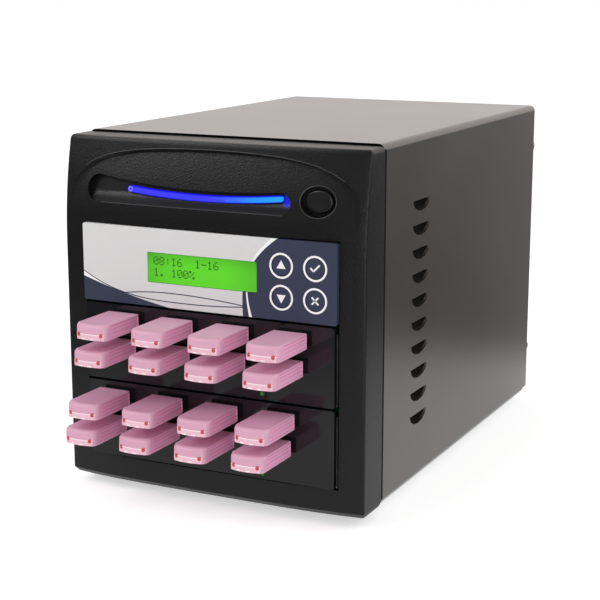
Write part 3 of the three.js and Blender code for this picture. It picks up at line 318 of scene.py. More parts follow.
def blackRubber():
    look = {"dark": "#161616", "light": "#242424", "roughness": 0.85, "spread": 0.1}
    grit = {"size": 1200, "bump": 0.3, "height": 0.0003}
    paint = Paint("blackRubber")
    grain = paint.noise(grit["size"], 3)
    return paint.surface(
        Base_Color=paint.mix(grain, tone(look["dark"]), tone(look["light"])),
        Roughness=grain.about(look["roughness"], look["spread"]),
        Normal=paint.bump(grain, grit["bump"], grit["height"]),
    )


def greenBoard():
    # slanting tracks under the board's green lacquer
    look = {"lacquer": "#12502c", "copper": "#2c7a45", "roughness": 0.4, "spread": 0.1}
    tracks = {"pitch": 4, "half": 0.5}
    paint = Paint("greenBoard")
    x, _, z = paint.axes()
    off = abs((x + z) % tracks["pitch"] - tracks["pitch"] / 2)
    track = (off < tracks["half"]) * (paint.noise(60) > 0.5)
    colour = paint.mix(track, tone(look["lacquer"]), tone(look["copper"]))
    return paint.surface(
        Base_Color=colour, Roughness=paint.noise(300).about(look["roughness"], look["spread"]),
    )


def glossPanel():
    look = {"dark": "#131315", "light": "#18191b", "haze": 40, "roughness": 0.105, "spread": 0.05}
    paint = Paint("glossPanel")
    haze = paint.noise(look["haze"], 3)
    return paint.surface(
        Base_Color=paint.mix(haze, tone(look["dark"]), tone(look["light"])),
        Roughness=haze.about(look["roughness"], look["spread"]), Specular_IOR_Level=0.42,
    )


wear(["case_cover"], coverPaint())
wear(["front_bezel"], bezelMoulding())
mouldedBlack = plainMoulding("mouldedBlack", "#1b1b1d", "#222224", 0.42)
wear(["power_inlet", "rocker_housing", "fan_frame", "fan_rotor", "front_frame"], mouldedBlack)
smoothBlack = plainMoulding("smoothBlack", "#141415", "#1a1a1c", 0.3)
wear(["power_button", "power_rocker"], smoothBlack)
# lighter than the bezel, for the edge beads: a painted highlight
edgeHighlight = plainMoulding("edgeHighlight", "#2e2e30", "#3a3a3c", 0.36)
zinc = zincSheet()
wear(["base_pan", "bay_rail_left", "bay_rail_right", "rear_panel", "power_supply", "lcd_module"], zinc)
wear(["bay_tray_control", "bay_tray_upper", "bay_tray_lower"], zinc)
wire = brightWire()
wear(["fan_guard"] + [f"thumb_screw_{i}" for i in range(1, 5)], wire)
wear([f"foot_{i}" for i in range(1, 5)], blackRubber())
wear(["front_board", "control_board", "usb_board_upper", "usb_board_lower"], greenBoard())
wear(["usb_panel_upper", "usb_panel_lower"], glossPanel())
print("case finished")

keyNames = ["key_up", "key_enter", "key_down", "key_escape"]


def printedFilm(paint, colour):
    # the fine dull grain of an overlay film
    film = {"grain": 2500, "roughness": 0.46, "spread": 0.08, "bump": 0.1, "height": 0.0001}
    grain = paint.noise(film["grain"], 2)
    return paint.surface(
        Base_Color=colour, Roughness=grain.about(film["roughness"], film["spread"]),
        Normal=paint.bump(grain, film["bump"], film["height"]),
    )


def overlayPrint():
    # a navy field behind the keys, an arc beside it, and a sweep at the lower left, on pale grey
    look = {"pale": "#d8d8d7", "navy": "#31384f", "white": "#f6f6f6", "line": 0.28}
    field = {"x": 24.1, "z": 114.0, "upper": 0.028, "lower": 0.0105}
    arc = {"stripe": 0.7, "flare": 0.004, "band": 0.12, "top": 126}
    sweep = {"x": -12.2, "z": 96.1, "slope": 0.13, "bend": 0.0016, "white": -45}
    falling = {"x": -10.0, "z": 100.5, "left": 0.0000477, "right": 0.0016}
    rising = {"x": -22.0, "z": 105.2, "left": 0.0029, "right": 0.0013, "start": -50.3}
    ring = {"inner": 5.5, "outer": 6.55}
    paint = Paint("printedOverlay")
    x, _, z = paint.axes()
    up = z - field["z"]
    edge = up * up * ((up > 0) * (field["upper"] - field["lower"]) + field["lower"]) + field["x"]
    stripe = edge - arc["stripe"] - up * up * arc["flare"]
    band = stripe - (arc["top"] - z).most(0) * arc["band"]
    left = (sweep["x"] - x).most(0)
    sweepTop = left * left * sweep["bend"] + left * sweep["slope"] + sweep["z"]
    before = (falling["x"] - x).most(0)
    after = (x - falling["x"]).most(0)
    fallingTop = before * before * before * falling["left"] + after * after * falling["right"] + falling["z"]
    west = (rising["x"] - x).most(0)
    east = (x - rising["x"]).most(0)
    risingTop = rising["z"] - west * west * rising["left"] - east * east * rising["right"]
    risingLine = (abs(z - risingTop) < look["line"]) * (x > rising["start"])
    lines = (abs(z - fallingTop) < look["line"]).most(risingLine)
    swept = (z < sweepTop) * (x < sweep["x"])
    ink = (x > edge).most((x > band) * (x < stripe)).most(swept).most(lines * (x < band))
    between = (z > sweepTop) * (z < fallingTop - look["line"]) * (x < sweep["white"])
    white = ((x < edge) * (x > stripe)).most(between)
    for name in keyNames:
        keyX, keyZ = frontSpot(name)
        away = distance(x - keyX, z - keyZ)
        white = white.most((away > ring["inner"]) * (away < ring["outer"]))
    colour = paint.mix(ink, tone(look["pale"]), tone(look["navy"]))
    return printedFilm(paint, paint.mix(white, colour, tone(look["white"])))


def keyFilm():
    paint = Paint("keyFilm")
    return printedFilm(paint, paint.mix(paint.noise(200), tone("#2f364f"), tone("#333a53")))


def litDisplay():
    # lit from behind, and a little deeper at its ends and along its top: partly a backlight brighter in the
    # middle, partly painted shade from the window's recess
    look = {"light": "#5cce29", "deep": "#439c22", "ends": (0.2, 0.56), "top": (0.55, 1.1), "glow": 0.2}
    window = {"x": -2.3, "width": 63.6, "foot": 110.4, "height": 15.4}
    paint = Paint("litDisplay")
    x, _, z = paint.axes()
    across = abs((x - window["x"]) / window["width"])
    up = (z - window["foot"]) / window["height"]
    # the deeper tone: partly uneven backlight, partly painted shade
    fade = across.clear(*look["ends"]) * 0.5 + up.clear(*look["top"]) * 0.5
    colour = paint.mix(fade, tone(look["light"]), tone(look["deep"]))
    return paint.surface(
        Base_Color=colour, Roughness=0.2, Emission_Color=colour, Emission_Strength=look["glow"],
    )


def evenInk(name, dark, light, roughness):
    paint = Paint(name)
    return paint.surface(Base_Color=paint.mix(paint.noise(900), tone(dark), tone(light)), Roughness=roughness)


def ledBar():
    # a light guide that droops in the middle: a bright core between deeper edges, sky blue at the lamp end
    light = {"left": -47.4, "right": 39.4, "high": 157.4, "droop": 2.3, "core": 1.0, "edge": 1.5}
    ring = {"radius": 1.1, "half": 0.3}
    streak = {"size": 260, "depth": 0.16, "from": 0.6, "to": 1.08}
    ink = {"base": "#0a0a30", "deep": "#3a3aff", "sky": "#12a4ff", "edge": "#1616d8", "pale": "#7d7dff"}
    paint = Paint("blueLightBar")
    x, _, z = paint.axes()
    along = (x - light["left"]) / (light["right"] - light["left"])
    swing = along * 2 - 1
    middleLine = light["high"] - (1 - swing * swing).most(0) * light["droop"]
    off = abs(z - middleLine)
    streaks = paint.noise(streak["size"], 1) * streak["depth"]
    near = (along + streaks).clear(streak["from"], streak["to"])
    colour = paint.mix(near, tone(ink["deep"]), tone(ink["sky"]))
    colour = paint.mix(off.clear(light["core"], light["edge"]), colour, tone(ink["edge"]))
    end = distance(x - light["left"], z - light["high"])
    colour = paint.mix(abs(end - ring["radius"]) < ring["half"], colour, tone(ink["pale"]))
    return paint.surface(
        Base_Color=tone(ink["base"]), Roughness=0.25, Emission_Color=colour, Emission_Strength=1.0,
    )


def greenLamp(name):
    # a small lit chip in a dark tinted lens
    lamp = {"chip": 0.45, "rim": 1.0, "dark": "#123a10", "light": "#1c4a18", "lit": "#46b038", "glow": 0.4}
    lampX, lampZ = frontSpot(name)
    paint = Paint(name.replace("activity", "green"))
    x, _, z = paint.axes()
    away = distance(x - lampX, z - lampZ)
    lens = paint.mix(paint.noise(800), tone(lamp["dark"]), tone(lamp["light"]))
    colour = paint.mix(away.clear(lamp["chip"], lamp["rim"]), tone(lamp["lit"]), lens)
    return paint.surface(
        Base_Color=lens, Roughness=0.2, Emission_Color=colour, Emission_Strength=lamp["glow"],
    )


wear(["control_fascia"], overlayPrint())
wear(keyNames, keyFilm())
wear(["lcd_window"], litDisplay())
wear(["led_light_bar"], ledBar())
for name in ("activity_lamp_upper", "activity_lamp_lower"):
    wear([name], greenLamp(name))


def addPiece(name, mesh, material, body):
    # a bmesh becomes a piece that rides on a body
    bmesh.ops.recalc_face_normals(mesh, faces=mesh.faces)
    data = bpy.data.meshes.new(name)
    mesh.to_mesh(data)
    mesh.free()
    data.materials.append(material)
    item = bpy.data.objects.new(name, data)
    scene.collection.objects.link(item)
    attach(item, body)
    return item


def addBar(mesh, size, spot, turn=0.0):
    # one thin box, turned about y
    place = Matrix.Translation(spot) @ Matrix.Rotation(turn, 4, "Y") @ Matrix.Diagonal((*size, 1))
    bmesh.ops.create_cube(mesh, size=1, matrix=place)


def addDisc(mesh, sides, radius, depth, place, tip=None):
    # a capped disc, cylinder or cone about the z axis of its place
    made = bmesh.ops.create_cone(
        mesh, cap_ends=True, segments=sides, radius1=radius, radius2=radius if tip is None else tip,
        depth=depth, matrix=place,
    )
    return made["verts"]


def roundEdges(mesh, edges, offset, segments):
    bmesh.ops.bevel(
        mesh, geom=edges, offset=offset, segments=segments, profile=0.5, affect="EDGES", material=-1,
    )


def shadeSoft(mesh, angle):
    # smooth shading, with creases where the surface turns by more than the angle
    for face in mesh.faces:
        face.smooth = True
    for edge in mesh.edges:
        edge.smooth = not (len(edge.link_faces) == 2 and edge.calc_face_angle() > math.radians(angle))


def softCopy(name, angle, body):
    # the same solid with its curved faces shaded smoothly
    mesh = bmesh.new()
    mesh.from_mesh(nodes[name].data)
    bmesh.ops.remove_doubles(mesh, verts=mesh.verts, dist=tiny)
    shadeSoft(mesh, angle)
    item = addPiece(name + "_soft", mesh, nodes[name].data.materials[0], body)
    even = item.modifiers.new("evenNormals", "WEIGHTED_NORMAL")
    even.keep_sharp = True
    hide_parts(name)


softCopy("front_bezel", 32, "case")
softCopy("case_cover", 32, "case")
print("shells smoothed")


def insulatingSheet():
    # a black sheet across the case, between the bays' rails and the power supply
    sheet = {
        "half": 83.6, "low": 8.2, "top": 1.9, "thick": 0.6, "back": -9.0, "corner": 5.0,
        "foot": 9.0, "inset": 8,
    }
    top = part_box("case_cover")[1][2] / mm - sheet["top"]
    y = sheet["back"] * mm
    mesh = bmesh.new()
    size = (2 * sheet["half"] * mm, sheet["thick"] * mm, (top - sheet["low"]) * mm)
    addBar(mesh, size, (0, y, (top + sheet["low"]) / 2 * mm))
    short = [edge for edge in mesh.edges if edge.calc_length() < 2 * sheet["thick"] * mm]
    roundEdges(mesh, [edge for edge in short if edge.verts[0].co.z > top / 2 * mm], sheet["corner"] * mm, 4)
    size = (2 * (sheet["half"] - sheet["inset"]) * mm, sheet["foot"] * mm, sheet["thick"] * mm)
    addBar(mesh, size, (0, y - sheet["foot"] / 2 * mm, (sheet["low"] + sheet["thick"] / 2) * mm))
    addPiece("insulatingSheet", mesh, mouldedBlack, "case")


insulatingSheet()


def keySigns():
    # an arrow up, an arrow down, a cross of two bars, and a tick of a short and a long bar
    sign = {"height": 0.12, "out": 0.01, "triangle": 2.9, "stroke": 0.9, "cross": 5.2}
    tick = [(2.4, -1.7, -0.6, quarter), (4.8, 0.75, 0.25, -quarter)]
    white = evenInk("whiteInk", "#ececec", "#f6f6f6", 0.45)
    height = sign["height"] * mm
    stroke = sign["stroke"] * mm
    for name in keyNames:
        x, _, z = middle(name)
        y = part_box(name)[0][1] - sign["out"] * mm
        mesh = bmesh.new()
        if name in ("key_up", "key_down"):
            turn = math.pi if name == "key_up" else 0
            place = Matrix.Translation((x, y, z)) @ Matrix.Rotation(turn, 4, "Y")
            place = place @ Matrix.Rotation(math.pi / 2, 4, "X") @ Matrix.Rotation(math.pi, 4, "Z")
            addDisc(mesh, 3, sign["triangle"] * mm, height, place)
        elif name == "key_escape":
            for turn in (quarter, -quarter):
                addBar(mesh, (sign["cross"] * mm, height, stroke), (x, y, z), turn)
        else:
            for length, right, up, turn in tick:
                addBar(mesh, (length * mm, height, stroke), (x + right * mm, y, z + up * mm), turn)
        addPiece(name.replace("key", "sign"), mesh, white, name)


keySigns()

shell = nodes["front_bezel"].data
shellTree = BVHTree.FromPolygons([v.co for v in shell.vertices], [p.vertices for p in shell.polygons])


def faceAt(x, z):
    # the point of the bezel's face at this place, seen from straight in front
    return shellTree.ray_cast(Vector((x, -1, z)), Vector((0, 1, 0)))[0]


def addLip(name, points, radius, closed):
    # a thin bead along an edge of the bezel, lighter than the moulding: a painted highlight line that also
    # catches the lamps
    data = bpy.data.curves.new(name, "CURVE")
    data.dimensions = "3D"
    data.bevel_depth = radius * mm
    data.bevel_resolution = 3
    data.use_fill_caps = True
    line = data.splines.new("POLY")
    line.points.add(len(points) - 1)
    line.use_cyclic_u = closed
    for spot, point in zip(line.points, points):
        spot.co = (*point, 1)
    data.materials.append(edgeHighlight)
    item = bpy.data.objects.new(name, data)
    scene.collection.objects.link(item)
    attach(item, "case")


def traceEdge(edge):
    # the points where the face starts to drop, found by walking up or down it at each x
    points = []
    for count in range(edge["count"] + 1):
        x = (edge["left"] + (edge["right"] - edge["left"]) * count / edge["count"]) * mm
        last = None
        for step in range(edge["steps"]):
            spot = faceAt(x, (edge["start"] + edge["way"] * step) * mm)
            if last and spot and spot.y - last.y > edge["drop"] * mm:
                points.append(last)
                break
            last = spot
    return points


def bezelLips():
    lips = {
        "scoopLip": {
            "left": -75, "right": 75, "count": 75, "start": 190.8, "way": -0.15, "steps": 170, "drop": 0.14,
            "radius": 0.3,
        },
        "grooveLip": {
            "left": -64, "right": 43, "count": 54, "start": 149.5, "way": 0.15, "steps": 90, "drop": 0.1,
            "radius": 0.22,
        },
    }
    for name, edge in lips.items():
        points = traceEdge(edge)
        print(name, len(points), "points")
        addLip(name, points, edge["radius"], False)


bezelLips()


def powerButton():
    # an oval cap with a rounded edge on its stem, and a bead round the well that it sits in, whose lighter
    # grey is a painted highlight on the well's rim
    cap = {"long": 7.0, "edge": 1.0, "border": 1.2, "dish": 0.25, "steps": 48}
    stem = {"radius": 2.0, "overlap": 0.5, "sides": 20}
    rim = {"radius": 0.3, "wide": 9.65, "tall": 7.85}
    low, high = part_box("power_button")
    x, _, z = middle("power_button")
    turn = Matrix.Rotation(math.pi / 2, 4, "X")
    oval = Matrix.Diagonal(((high[0] - low[0]) / 2, 1, (high[2] - low[2]) / 2, 1))
    mesh = bmesh.new()
    place = Matrix.Translation((x, low[1] + cap["long"] / 2 * mm, z)) @ oval @ turn
    addDisc(mesh, cap["steps"], 1, cap["long"] * mm, place)
    front = [edge for edge in mesh.edges if all(v.co.y < low[1] + tiny for v in edge.verts)]
    roundEdges(mesh, front, cap["edge"] * mm, 4)
    face = [item for item in mesh.faces if item.normal.y < -0.99]
    bmesh.ops.inset_region(
        mesh, faces=face, thickness=cap["border"] * mm, depth=-cap["dish"] * mm, use_even_offset=True,
    )
    start = low[1] + (cap["long"] - stem["overlap"]) * mm
    place = Matrix.Translation((x, (start + high[1]) / 2, z)) @ turn
    addDisc(mesh, stem["sides"], stem["radius"] * mm, high[1] - start, place)
    shadeSoft(mesh, crease)
    item = addPiece("buttonCap", mesh, smoothBlack, "power_button")
    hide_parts("power_button")
    points = []
    for step in range(cap["steps"]):
        angle = 2 * math.pi * step / cap["steps"]
        points.append(faceAt(x + math.cos(angle) * rim["wide"] * mm, z + math.sin(angle) * rim["tall"] * mm))
    addLip("wellRim", points, rim["radius"], True)


powerButton()

# each number is one row of five dots, from the top down
digitRows = {
    "0": (14, 17, 19, 21, 25, 17, 14), "1": (4, 12, 4, 4, 4, 4, 14), "6": (6, 8, 16, 30, 17, 17, 14),
    "8": (14, 17, 17, 14, 17, 17, 14), ":": (0, 4, 4, 0, 4, 4, 0), "%": (24, 25, 2, 4, 8, 19, 3),
    "-": (0, 0, 0, 31, 0, 0, 0), ".": (0, 0, 0, 0, 0, 12, 12), " ": (0,) * 7,
}


def displayDigits():
    # a count of copies and of progress, as a display of this kind shows while it works
    show = {"lines": ["08:16  1-16", "1. 100%"], "cell": 3.55, "left": 3.6, "top": 2.1, "pitch": 5.9}
    dot = {"size": 0.56, "gap": 0.06, "height": 0.04, "out": 0.01}
    low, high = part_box("lcd_window")
    step = (dot["size"] + dot["gap"]) * mm
    size = (dot["size"] * mm, dot["height"] * mm, dot["size"] * mm)
    y = low[1] - dot["out"] * mm
    mesh = bmesh.new()
    for row, text in enumerate(show["lines"]):
        for place, letter in enumerate(text):
            for line, bits in enumerate(digitRows[letter]):
                for column in range(5):
                    if bits >> (4 - column) & 1:
                        x = low[0] + (show["left"] + place * show["cell"]) * mm + column * step
                        z = high[2] - (show["top"] + row * show["pitch"]) * mm - line * step
                        addBar(mesh, size, (x, y, z))
    ink = evenInk("displayDots", "#235d1c", "#2c6a22", 0.3)
    addPiece("displayDigits", mesh, ink, "case")


displayDigits()
print("control panel finished")

# one moulded drive; its sizes are in millimetres, and a row of four stands at one pitch
drive = {"pitch": 32.6, "half": 9.3, "corner": 3.0, "bulge": 0.8, "behind": 0.2}


def driveSpot(number):
    low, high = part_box(f"flash_drive_{number}")
    return low, high, (low[0] + high[0]) / 2, (low[2] + high[2]) / 2


def fromMiddle(x, x0):
    # how far right of the nearest drive's middle
    return (x - x0 + drive["pitch"] / 2) % drive["pitch"] - drive["pitch"] / 2


def drivePlastic(number):
    # one plastic for a row of four drives; the pattern repeats at their pitch; its nose and side recess get
    # painted shades of the one pink, and the recess painted shade in its grooves and under its rim
    look = {"rim": "#dca6be", "top": "#e8aecb", "side": "#f0aed0", "groove": "#dd88b2", "line": "#d2608a"}
    recess = {"half": 2.9, "stop": 5.8, "slant": 1.8, "edge": 0.7, "tall": 8}
    groove = {"half": 0.22, "line": 0.26, "lineEdge": 0.75, "before": 0.3}
    nose = {"from": 3.4, "to": 6.5}
    grit = {"size": 900, "roughness": 0.37, "spread": 0.1, "bump": 0.05, "height": 0.0002}
    x0, z0 = frontSpot(f"flash_drive_{number}")
    tip = (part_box(f"flash_drive_{number}")[0][1] - origin[1]) / mm
    paint = Paint(f"pinkPlastic{number}")
    x, y, z = paint.axes()
    away = abs(fromMiddle(x, x0))
    up = z - z0
    rise = up / recess["tall"] + 0.5
    stop = rise * rise * recess["slant"] + tip + recess["stop"]
    # the sides' recess in a lighter pink: painted light on the sides
    side = (away > drive["half"] - recess["edge"]) * (abs(up) < recess["half"] + 0.02) * (y > stop)
    # two darker lines in the recess: painted shade of fine grooves
    sunk = side * (abs(abs(up) - recess["half"] / 3) < groove["half"])
    # a deep pink line under the recess's upper rim: painted shadow
    line = (away > drive["half"] - groove["lineEdge"]) * (abs(up - recess["half"]) < groove["line"])
    line = line * (y > stop - groove["before"])
    # the nose in a slightly darker pink than the top: painted shade of the one plastic
    front = 1 - y.clear(tip + nose["from"], tip + nose["to"])
    colour = paint.mix(front, tone(look["top"]), tone(look["rim"]))
    colour = paint.mix(side, colour, tone(look["side"]))
    colour = paint.mix(sunk, colour, tone(look["groove"]))
    colour = paint.mix(line, colour, tone(look["line"]))
    speck = paint.noise(grit["size"], 2)
    return paint.surface(
        Base_Color=colour, Roughness=speck.about(grit["roughness"], grit["spread"]),
        Normal=paint.bump(speck, grit["bump"], grit["height"]),
    )


def lensPlastic(number, lens):
    # clear strip, with a painted highlight line along its top and two painted highlight spots at its foot
    look = {"dark": "#f0b6ca", "light": "#f6cad8", "paintedHighlight": "#fdf2f4", "roughness": 0.12, "coat": 0.8}
    spot = {"up": 0.5, "tall": 0.35, "shift": 1, "apart": 2.6, "wide": 1.1}
    line = {"down": 0.3, "half": 0.22}
    x0, z0 = frontSpot(f"flash_drive_{number}")
    paint = Paint(f"clearLens{number}")
    x, _, z = paint.axes()
    up = z - z0
    across = fromMiddle(x, x0)
    # painted highlights: two spots at the strip's foot, and a line along its top
    spots = abs(abs(across + spot["shift"]) - spot["apart"]) < spot["wide"]
    spots = (abs(up - lens["low"] - spot["up"]) < spot["tall"]) * spots
    paintedHighlight = (abs(up - lens["high"] + line["down"]) < line["half"]).most(spots)
    colour = paint.mix(paint.noise(500), tone(look["dark"]), tone(look["light"]))
    colour = paint.mix(paintedHighlight, colour, tone(look["paintedHighlight"]))
    return paint.surface(Base_Color=colour, Roughness=look["roughness"], Coat_Weight=look["coat"])


def frontCurve(x):
    # how far the drive's nose stands back from its tip
    flat = drive["half"] - drive["corner"]
    away = abs(x)
    bulge = drive["bulge"] * min(1, away / flat) ** 2
    past = max(0, away - flat)
    return bulge + drive["corner"] - math.sqrt(max(0, drive["corner"] ** 2 - past ** 2))


def driveLenses():
    lens = {"reach": 8.1, "low": -3.9, "high": -0.75, "out": 0.16, "thick": 0.3}
    dot = {"x": 6.7, "z": -1.35, "wide": 1.15, "deep": 0.5, "tall": 1.2, "out": 0.1, "turn": 24}
    red = evenInk("redWindow", "#b83a44", "#d4525a", 0.2)
    for number in range(1, 17):
        if number % 4 == 1:
            clear = lensPlastic(number, lens)
        low, _, x0, z0 = driveSpot(number)
        front = low[1] + drive["behind"] * mm
        mesh = bmesh.new()
        place = Matrix.Translation((x0, front, z0 + (lens["low"] + lens["high"]) / 2 * mm))
        place = place @ Matrix.Rotation(math.pi / 2, 4, "X")
        size = Matrix.Diagonal((lens["reach"] * mm, (lens["high"] - lens["low"]) / 2 * mm, 1, 1))
        grid = bmesh.ops.create_grid(mesh, x_segments=20, y_segments=3, size=1, matrix=place @ size)
        for point in grid["verts"]:
            back = frontCurve((point.co.x - x0) / mm)
            point.co.y += (back - lens["out"]) * mm
        bmesh.ops.recalc_face_normals(mesh, faces=mesh.faces)
        bmesh.ops.solidify(mesh, geom=mesh.faces[:], thickness=lens["thick"] * mm)
        addPiece(f"driveLens_{number}", mesh, clear, f"flash_drive_{number}")
        dots = bmesh.new()
        depth = frontCurve(dot["x"]) + dot["out"]
        for side in (-1, 1):
            spot = Matrix.Translation((x0 + side * dot["x"] * mm, front + depth * mm, z0 + dot["z"] * mm))
            turn = Matrix.Rotation(side * math.radians(dot["turn"]), 4, "Z")
            size = Matrix.Diagonal((dot["wide"] * mm, dot["deep"] * mm, dot["tall"] * mm, 1))
            bmesh.ops.create_uvsphere(dots, u_segments=12, v_segments=8, radius=1, matrix=spot @ turn @ size)
        addPiece(f"driveDots_{number}", dots, red, f"flash_drive_{number}")


def cutAcross(mesh, spot, way):
    geom = mesh.verts[:] + mesh.edges[:] + mesh.faces[:]
    bmesh.ops.bisect_plane(mesh, geom=geom, plane_co=spot, plane_no=way, dist=tiny / 10)


def driveBody(number, material):
    # a rolled top edge, a bulging nose with round corners, and a recess with a curved end on each side
    body = {"roll": 2.6, "edge": 0.3, "rim": 1.1, "deep": 0.5, "stop": 5.0, "slant": 1.8, "plug": 12}
    turns = (0.45, 0.75, 0.9, 0.97)
    shares = (-0.67, -0.33, 0, 0.33, 0.67)
    low, high, x0, z0 = driveSpot(number)
    half = (high[0] - low[0]) / 2
    tall = high[2] - low[2]
    flat = half - drive["corner"] * mm
    front = low[1] + (drive["bulge"] + drive["behind"]) * mm
    back = high[1] - body["plug"] * mm
    stop = front + body["stop"] * mm
    mesh = bmesh.new()
    size = Matrix.Diagonal((2 * half, back - front, tall, 1))
    bmesh.ops.create_cube(mesh, size=1, matrix=Matrix.Translation((x0, (front + back) / 2, z0)) @ size)
    nose = [edge for edge in mesh.edges if all(v.co.y < front + tiny for v in edge.verts)]
    roundEdges(mesh, [edge for edge in nose if edge.calc_length() < tall * 1.01], drive["corner"] * mm, 6)
    for share in shares:
        cutAcross(mesh, (x0 + share * flat, 0, 0), (1, 0, 0))
    for turn in turns:
        cutAcross(mesh, (0, 0, high[2] - body["roll"] * mm * (1 - turn)), (0, 0, 1))
    cutAcross(mesh, (0, 0, high[2] - body["rim"] * mm), (0, 0, 1))
    cutAcross(mesh, (0, 0, low[2] + body["rim"] * mm), (0, 0, 1))
    cutAcross(mesh, (0, stop, 0), (0, 1, 0))
    for side in (-1, 1):
        wall = []
        for face in mesh.faces:
            spot = face.calc_center_median()
            inside = abs(spot.z - z0) < tall / 2 - body["rim"] * mm and spot.y > stop
            if inside and side * (spot.x - x0) > half - tiny:
                wall.append(face)
        bmesh.ops.inset_region(
            mesh, faces=wall, thickness=0.05 * mm, depth=-body["deep"] * mm, use_even_offset=True,
        )
    for point in mesh.verts:
        up = (point.co.z - (high[2] - body["roll"] * mm)) / (body["roll"] * mm)
        rise = (point.co.z - low[2]) / tall
        away = (point.co.x - x0) / flat
        inside = abs(point.co.z - z0) < tall / 2 - (body["rim"] - 0.1) * mm
        if inside and abs(point.co.y - stop) < 0.2 * mm:
            point.co.y += body["slant"] * rise * rise * mm
        elif point.co.y < front + (drive["corner"] + 0.1) * mm:
            if point.co.y < front + tiny and abs(away) < 1.001:
                point.co.y -= drive["bulge"] * (1 - away * away) * mm
            if up > 0:
                point.co.y += body["roll"] * (1 - math.sqrt(max(0, 1 - up * up))) * mm
        edge = (point.co.z - (high[2] - body["edge"] * mm)) / (body["edge"] * mm)
        if edge > 0 and abs(point.co.x - x0) > half - tiny:
            point.co.x -= math.copysign(body["edge"] * edge * edge * mm, point.co.x - x0)
    shadeSoft(mesh, crease)
    item = addPiece(f"driveBody_{number}", mesh, material, f"flash_drive_{number}")
    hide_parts(f"flash_drive_{number}")


def drivePlug(number, material):
    # the plug's sheet metal sleeve, open at its end
    plug = {"half": 6, "tall": 4.5, "length": 12, "sheet": 0.4, "edge": 0.5, "hollow": 8.7}
    _, high, x0, z0 = driveSpot(number)
    start = high[1] - (plug["length"] + plug["sheet"]) * mm
    mesh = bmesh.new()
    size = Matrix.Diagonal((2 * plug["half"] * mm, high[1] - start, plug["tall"] * mm, 1))
    bmesh.ops.create_cube(mesh, size=1, matrix=Matrix.Translation((x0, (start + high[1]) / 2, z0)) @ size)
    long = [edge for edge in mesh.edges if abs(edge.verts[0].co.y - edge.verts[1].co.y) > 1 * mm]
    roundEdges(mesh, long, plug["edge"] * mm, 3)
    mouth = [face for face in mesh.faces if face.normal.y > 0.9]
    for thick, depth in ((plug["sheet"], 0), (0.01, plug["hollow"])):
        bmesh.ops.inset_region(
            mesh, faces=mouth, thickness=thick * mm, depth=-depth * mm, use_even_offset=True,
        )
    shadeSoft(mesh, crease)
    addPiece(f"drivePlug_{number}", mesh, material, f"flash_drive_{number}")


for first in (1, 5, 9, 13):
    pink = drivePlastic(first)
    for number in range(first, first + 4):
        driveBody(number, pink)
        drivePlug(number, wire)
driveLenses()
print("drives finished")


def screwHeads():
    # crossed pan heads: four hold the finger guard, four the power supply
    screw = {"radius": 3.0, "top": 0.8, "height": 1.4, "edge": 0.4, "sides": 20}
    slot = {"long": 3.3, "height": 0.06, "wide": 0.7, "turn": 0.4}
    place = {"guard": 3.1, "beside": 1.0, "above": 6, "below": 5}
    low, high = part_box("fan_guard")
    inset = place["guard"] * mm
    spots = []
    for x in (low[0] + inset, high[0] - inset):
        spots += [(x, high[1], z) for z in (low[2] + inset, high[2] - inset)]
    low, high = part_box("power_supply")
    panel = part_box("rear_panel")[1][1]
    for x in (low[0] - place["beside"] * mm, high[0] + place["beside"] * mm):
        spots += [(x, panel, z) for z in (low[2] + place["above"] * mm, high[2] - place["below"] * mm)]
    outwards = Matrix.Rotation(-math.pi / 2, 4, "X")
    radius = screw["radius"] * mm
    for count, (x, y, z) in enumerate(spots):
        mesh = bmesh.new()
        stand = Matrix.Translation((x, y + screw["height"] / 2 * mm, z)) @ outwards
        addDisc(mesh, screw["sides"], radius, screw["height"] * mm, stand, radius * screw["top"])
        nearTop = y + screw["height"] * 0.9 * mm
        top = [edge for edge in mesh.edges if all(v.co.y > nearTop for v in edge.verts)]
        roundEdges(mesh, top, screw["edge"] * mm, 2)
        addPiece(f"panHead_{count + 1}", mesh, wire, "case")
        # the cross in each head is two thin black bars: painted shade standing for a cross recess
        slots = bmesh.new()
        for angle in (quarter, -quarter):
            size = (slot["long"] * mm, slot["height"] * mm, slot["wide"] * mm)
            addBar(slots, size, (x, y + screw["height"] * mm, z), angle + count * slot["turn"])
        addPiece(f"panSlotShade_{count + 1}", slots, mouldedBlack, "case")


screwHeads()
print("fasteners finished")


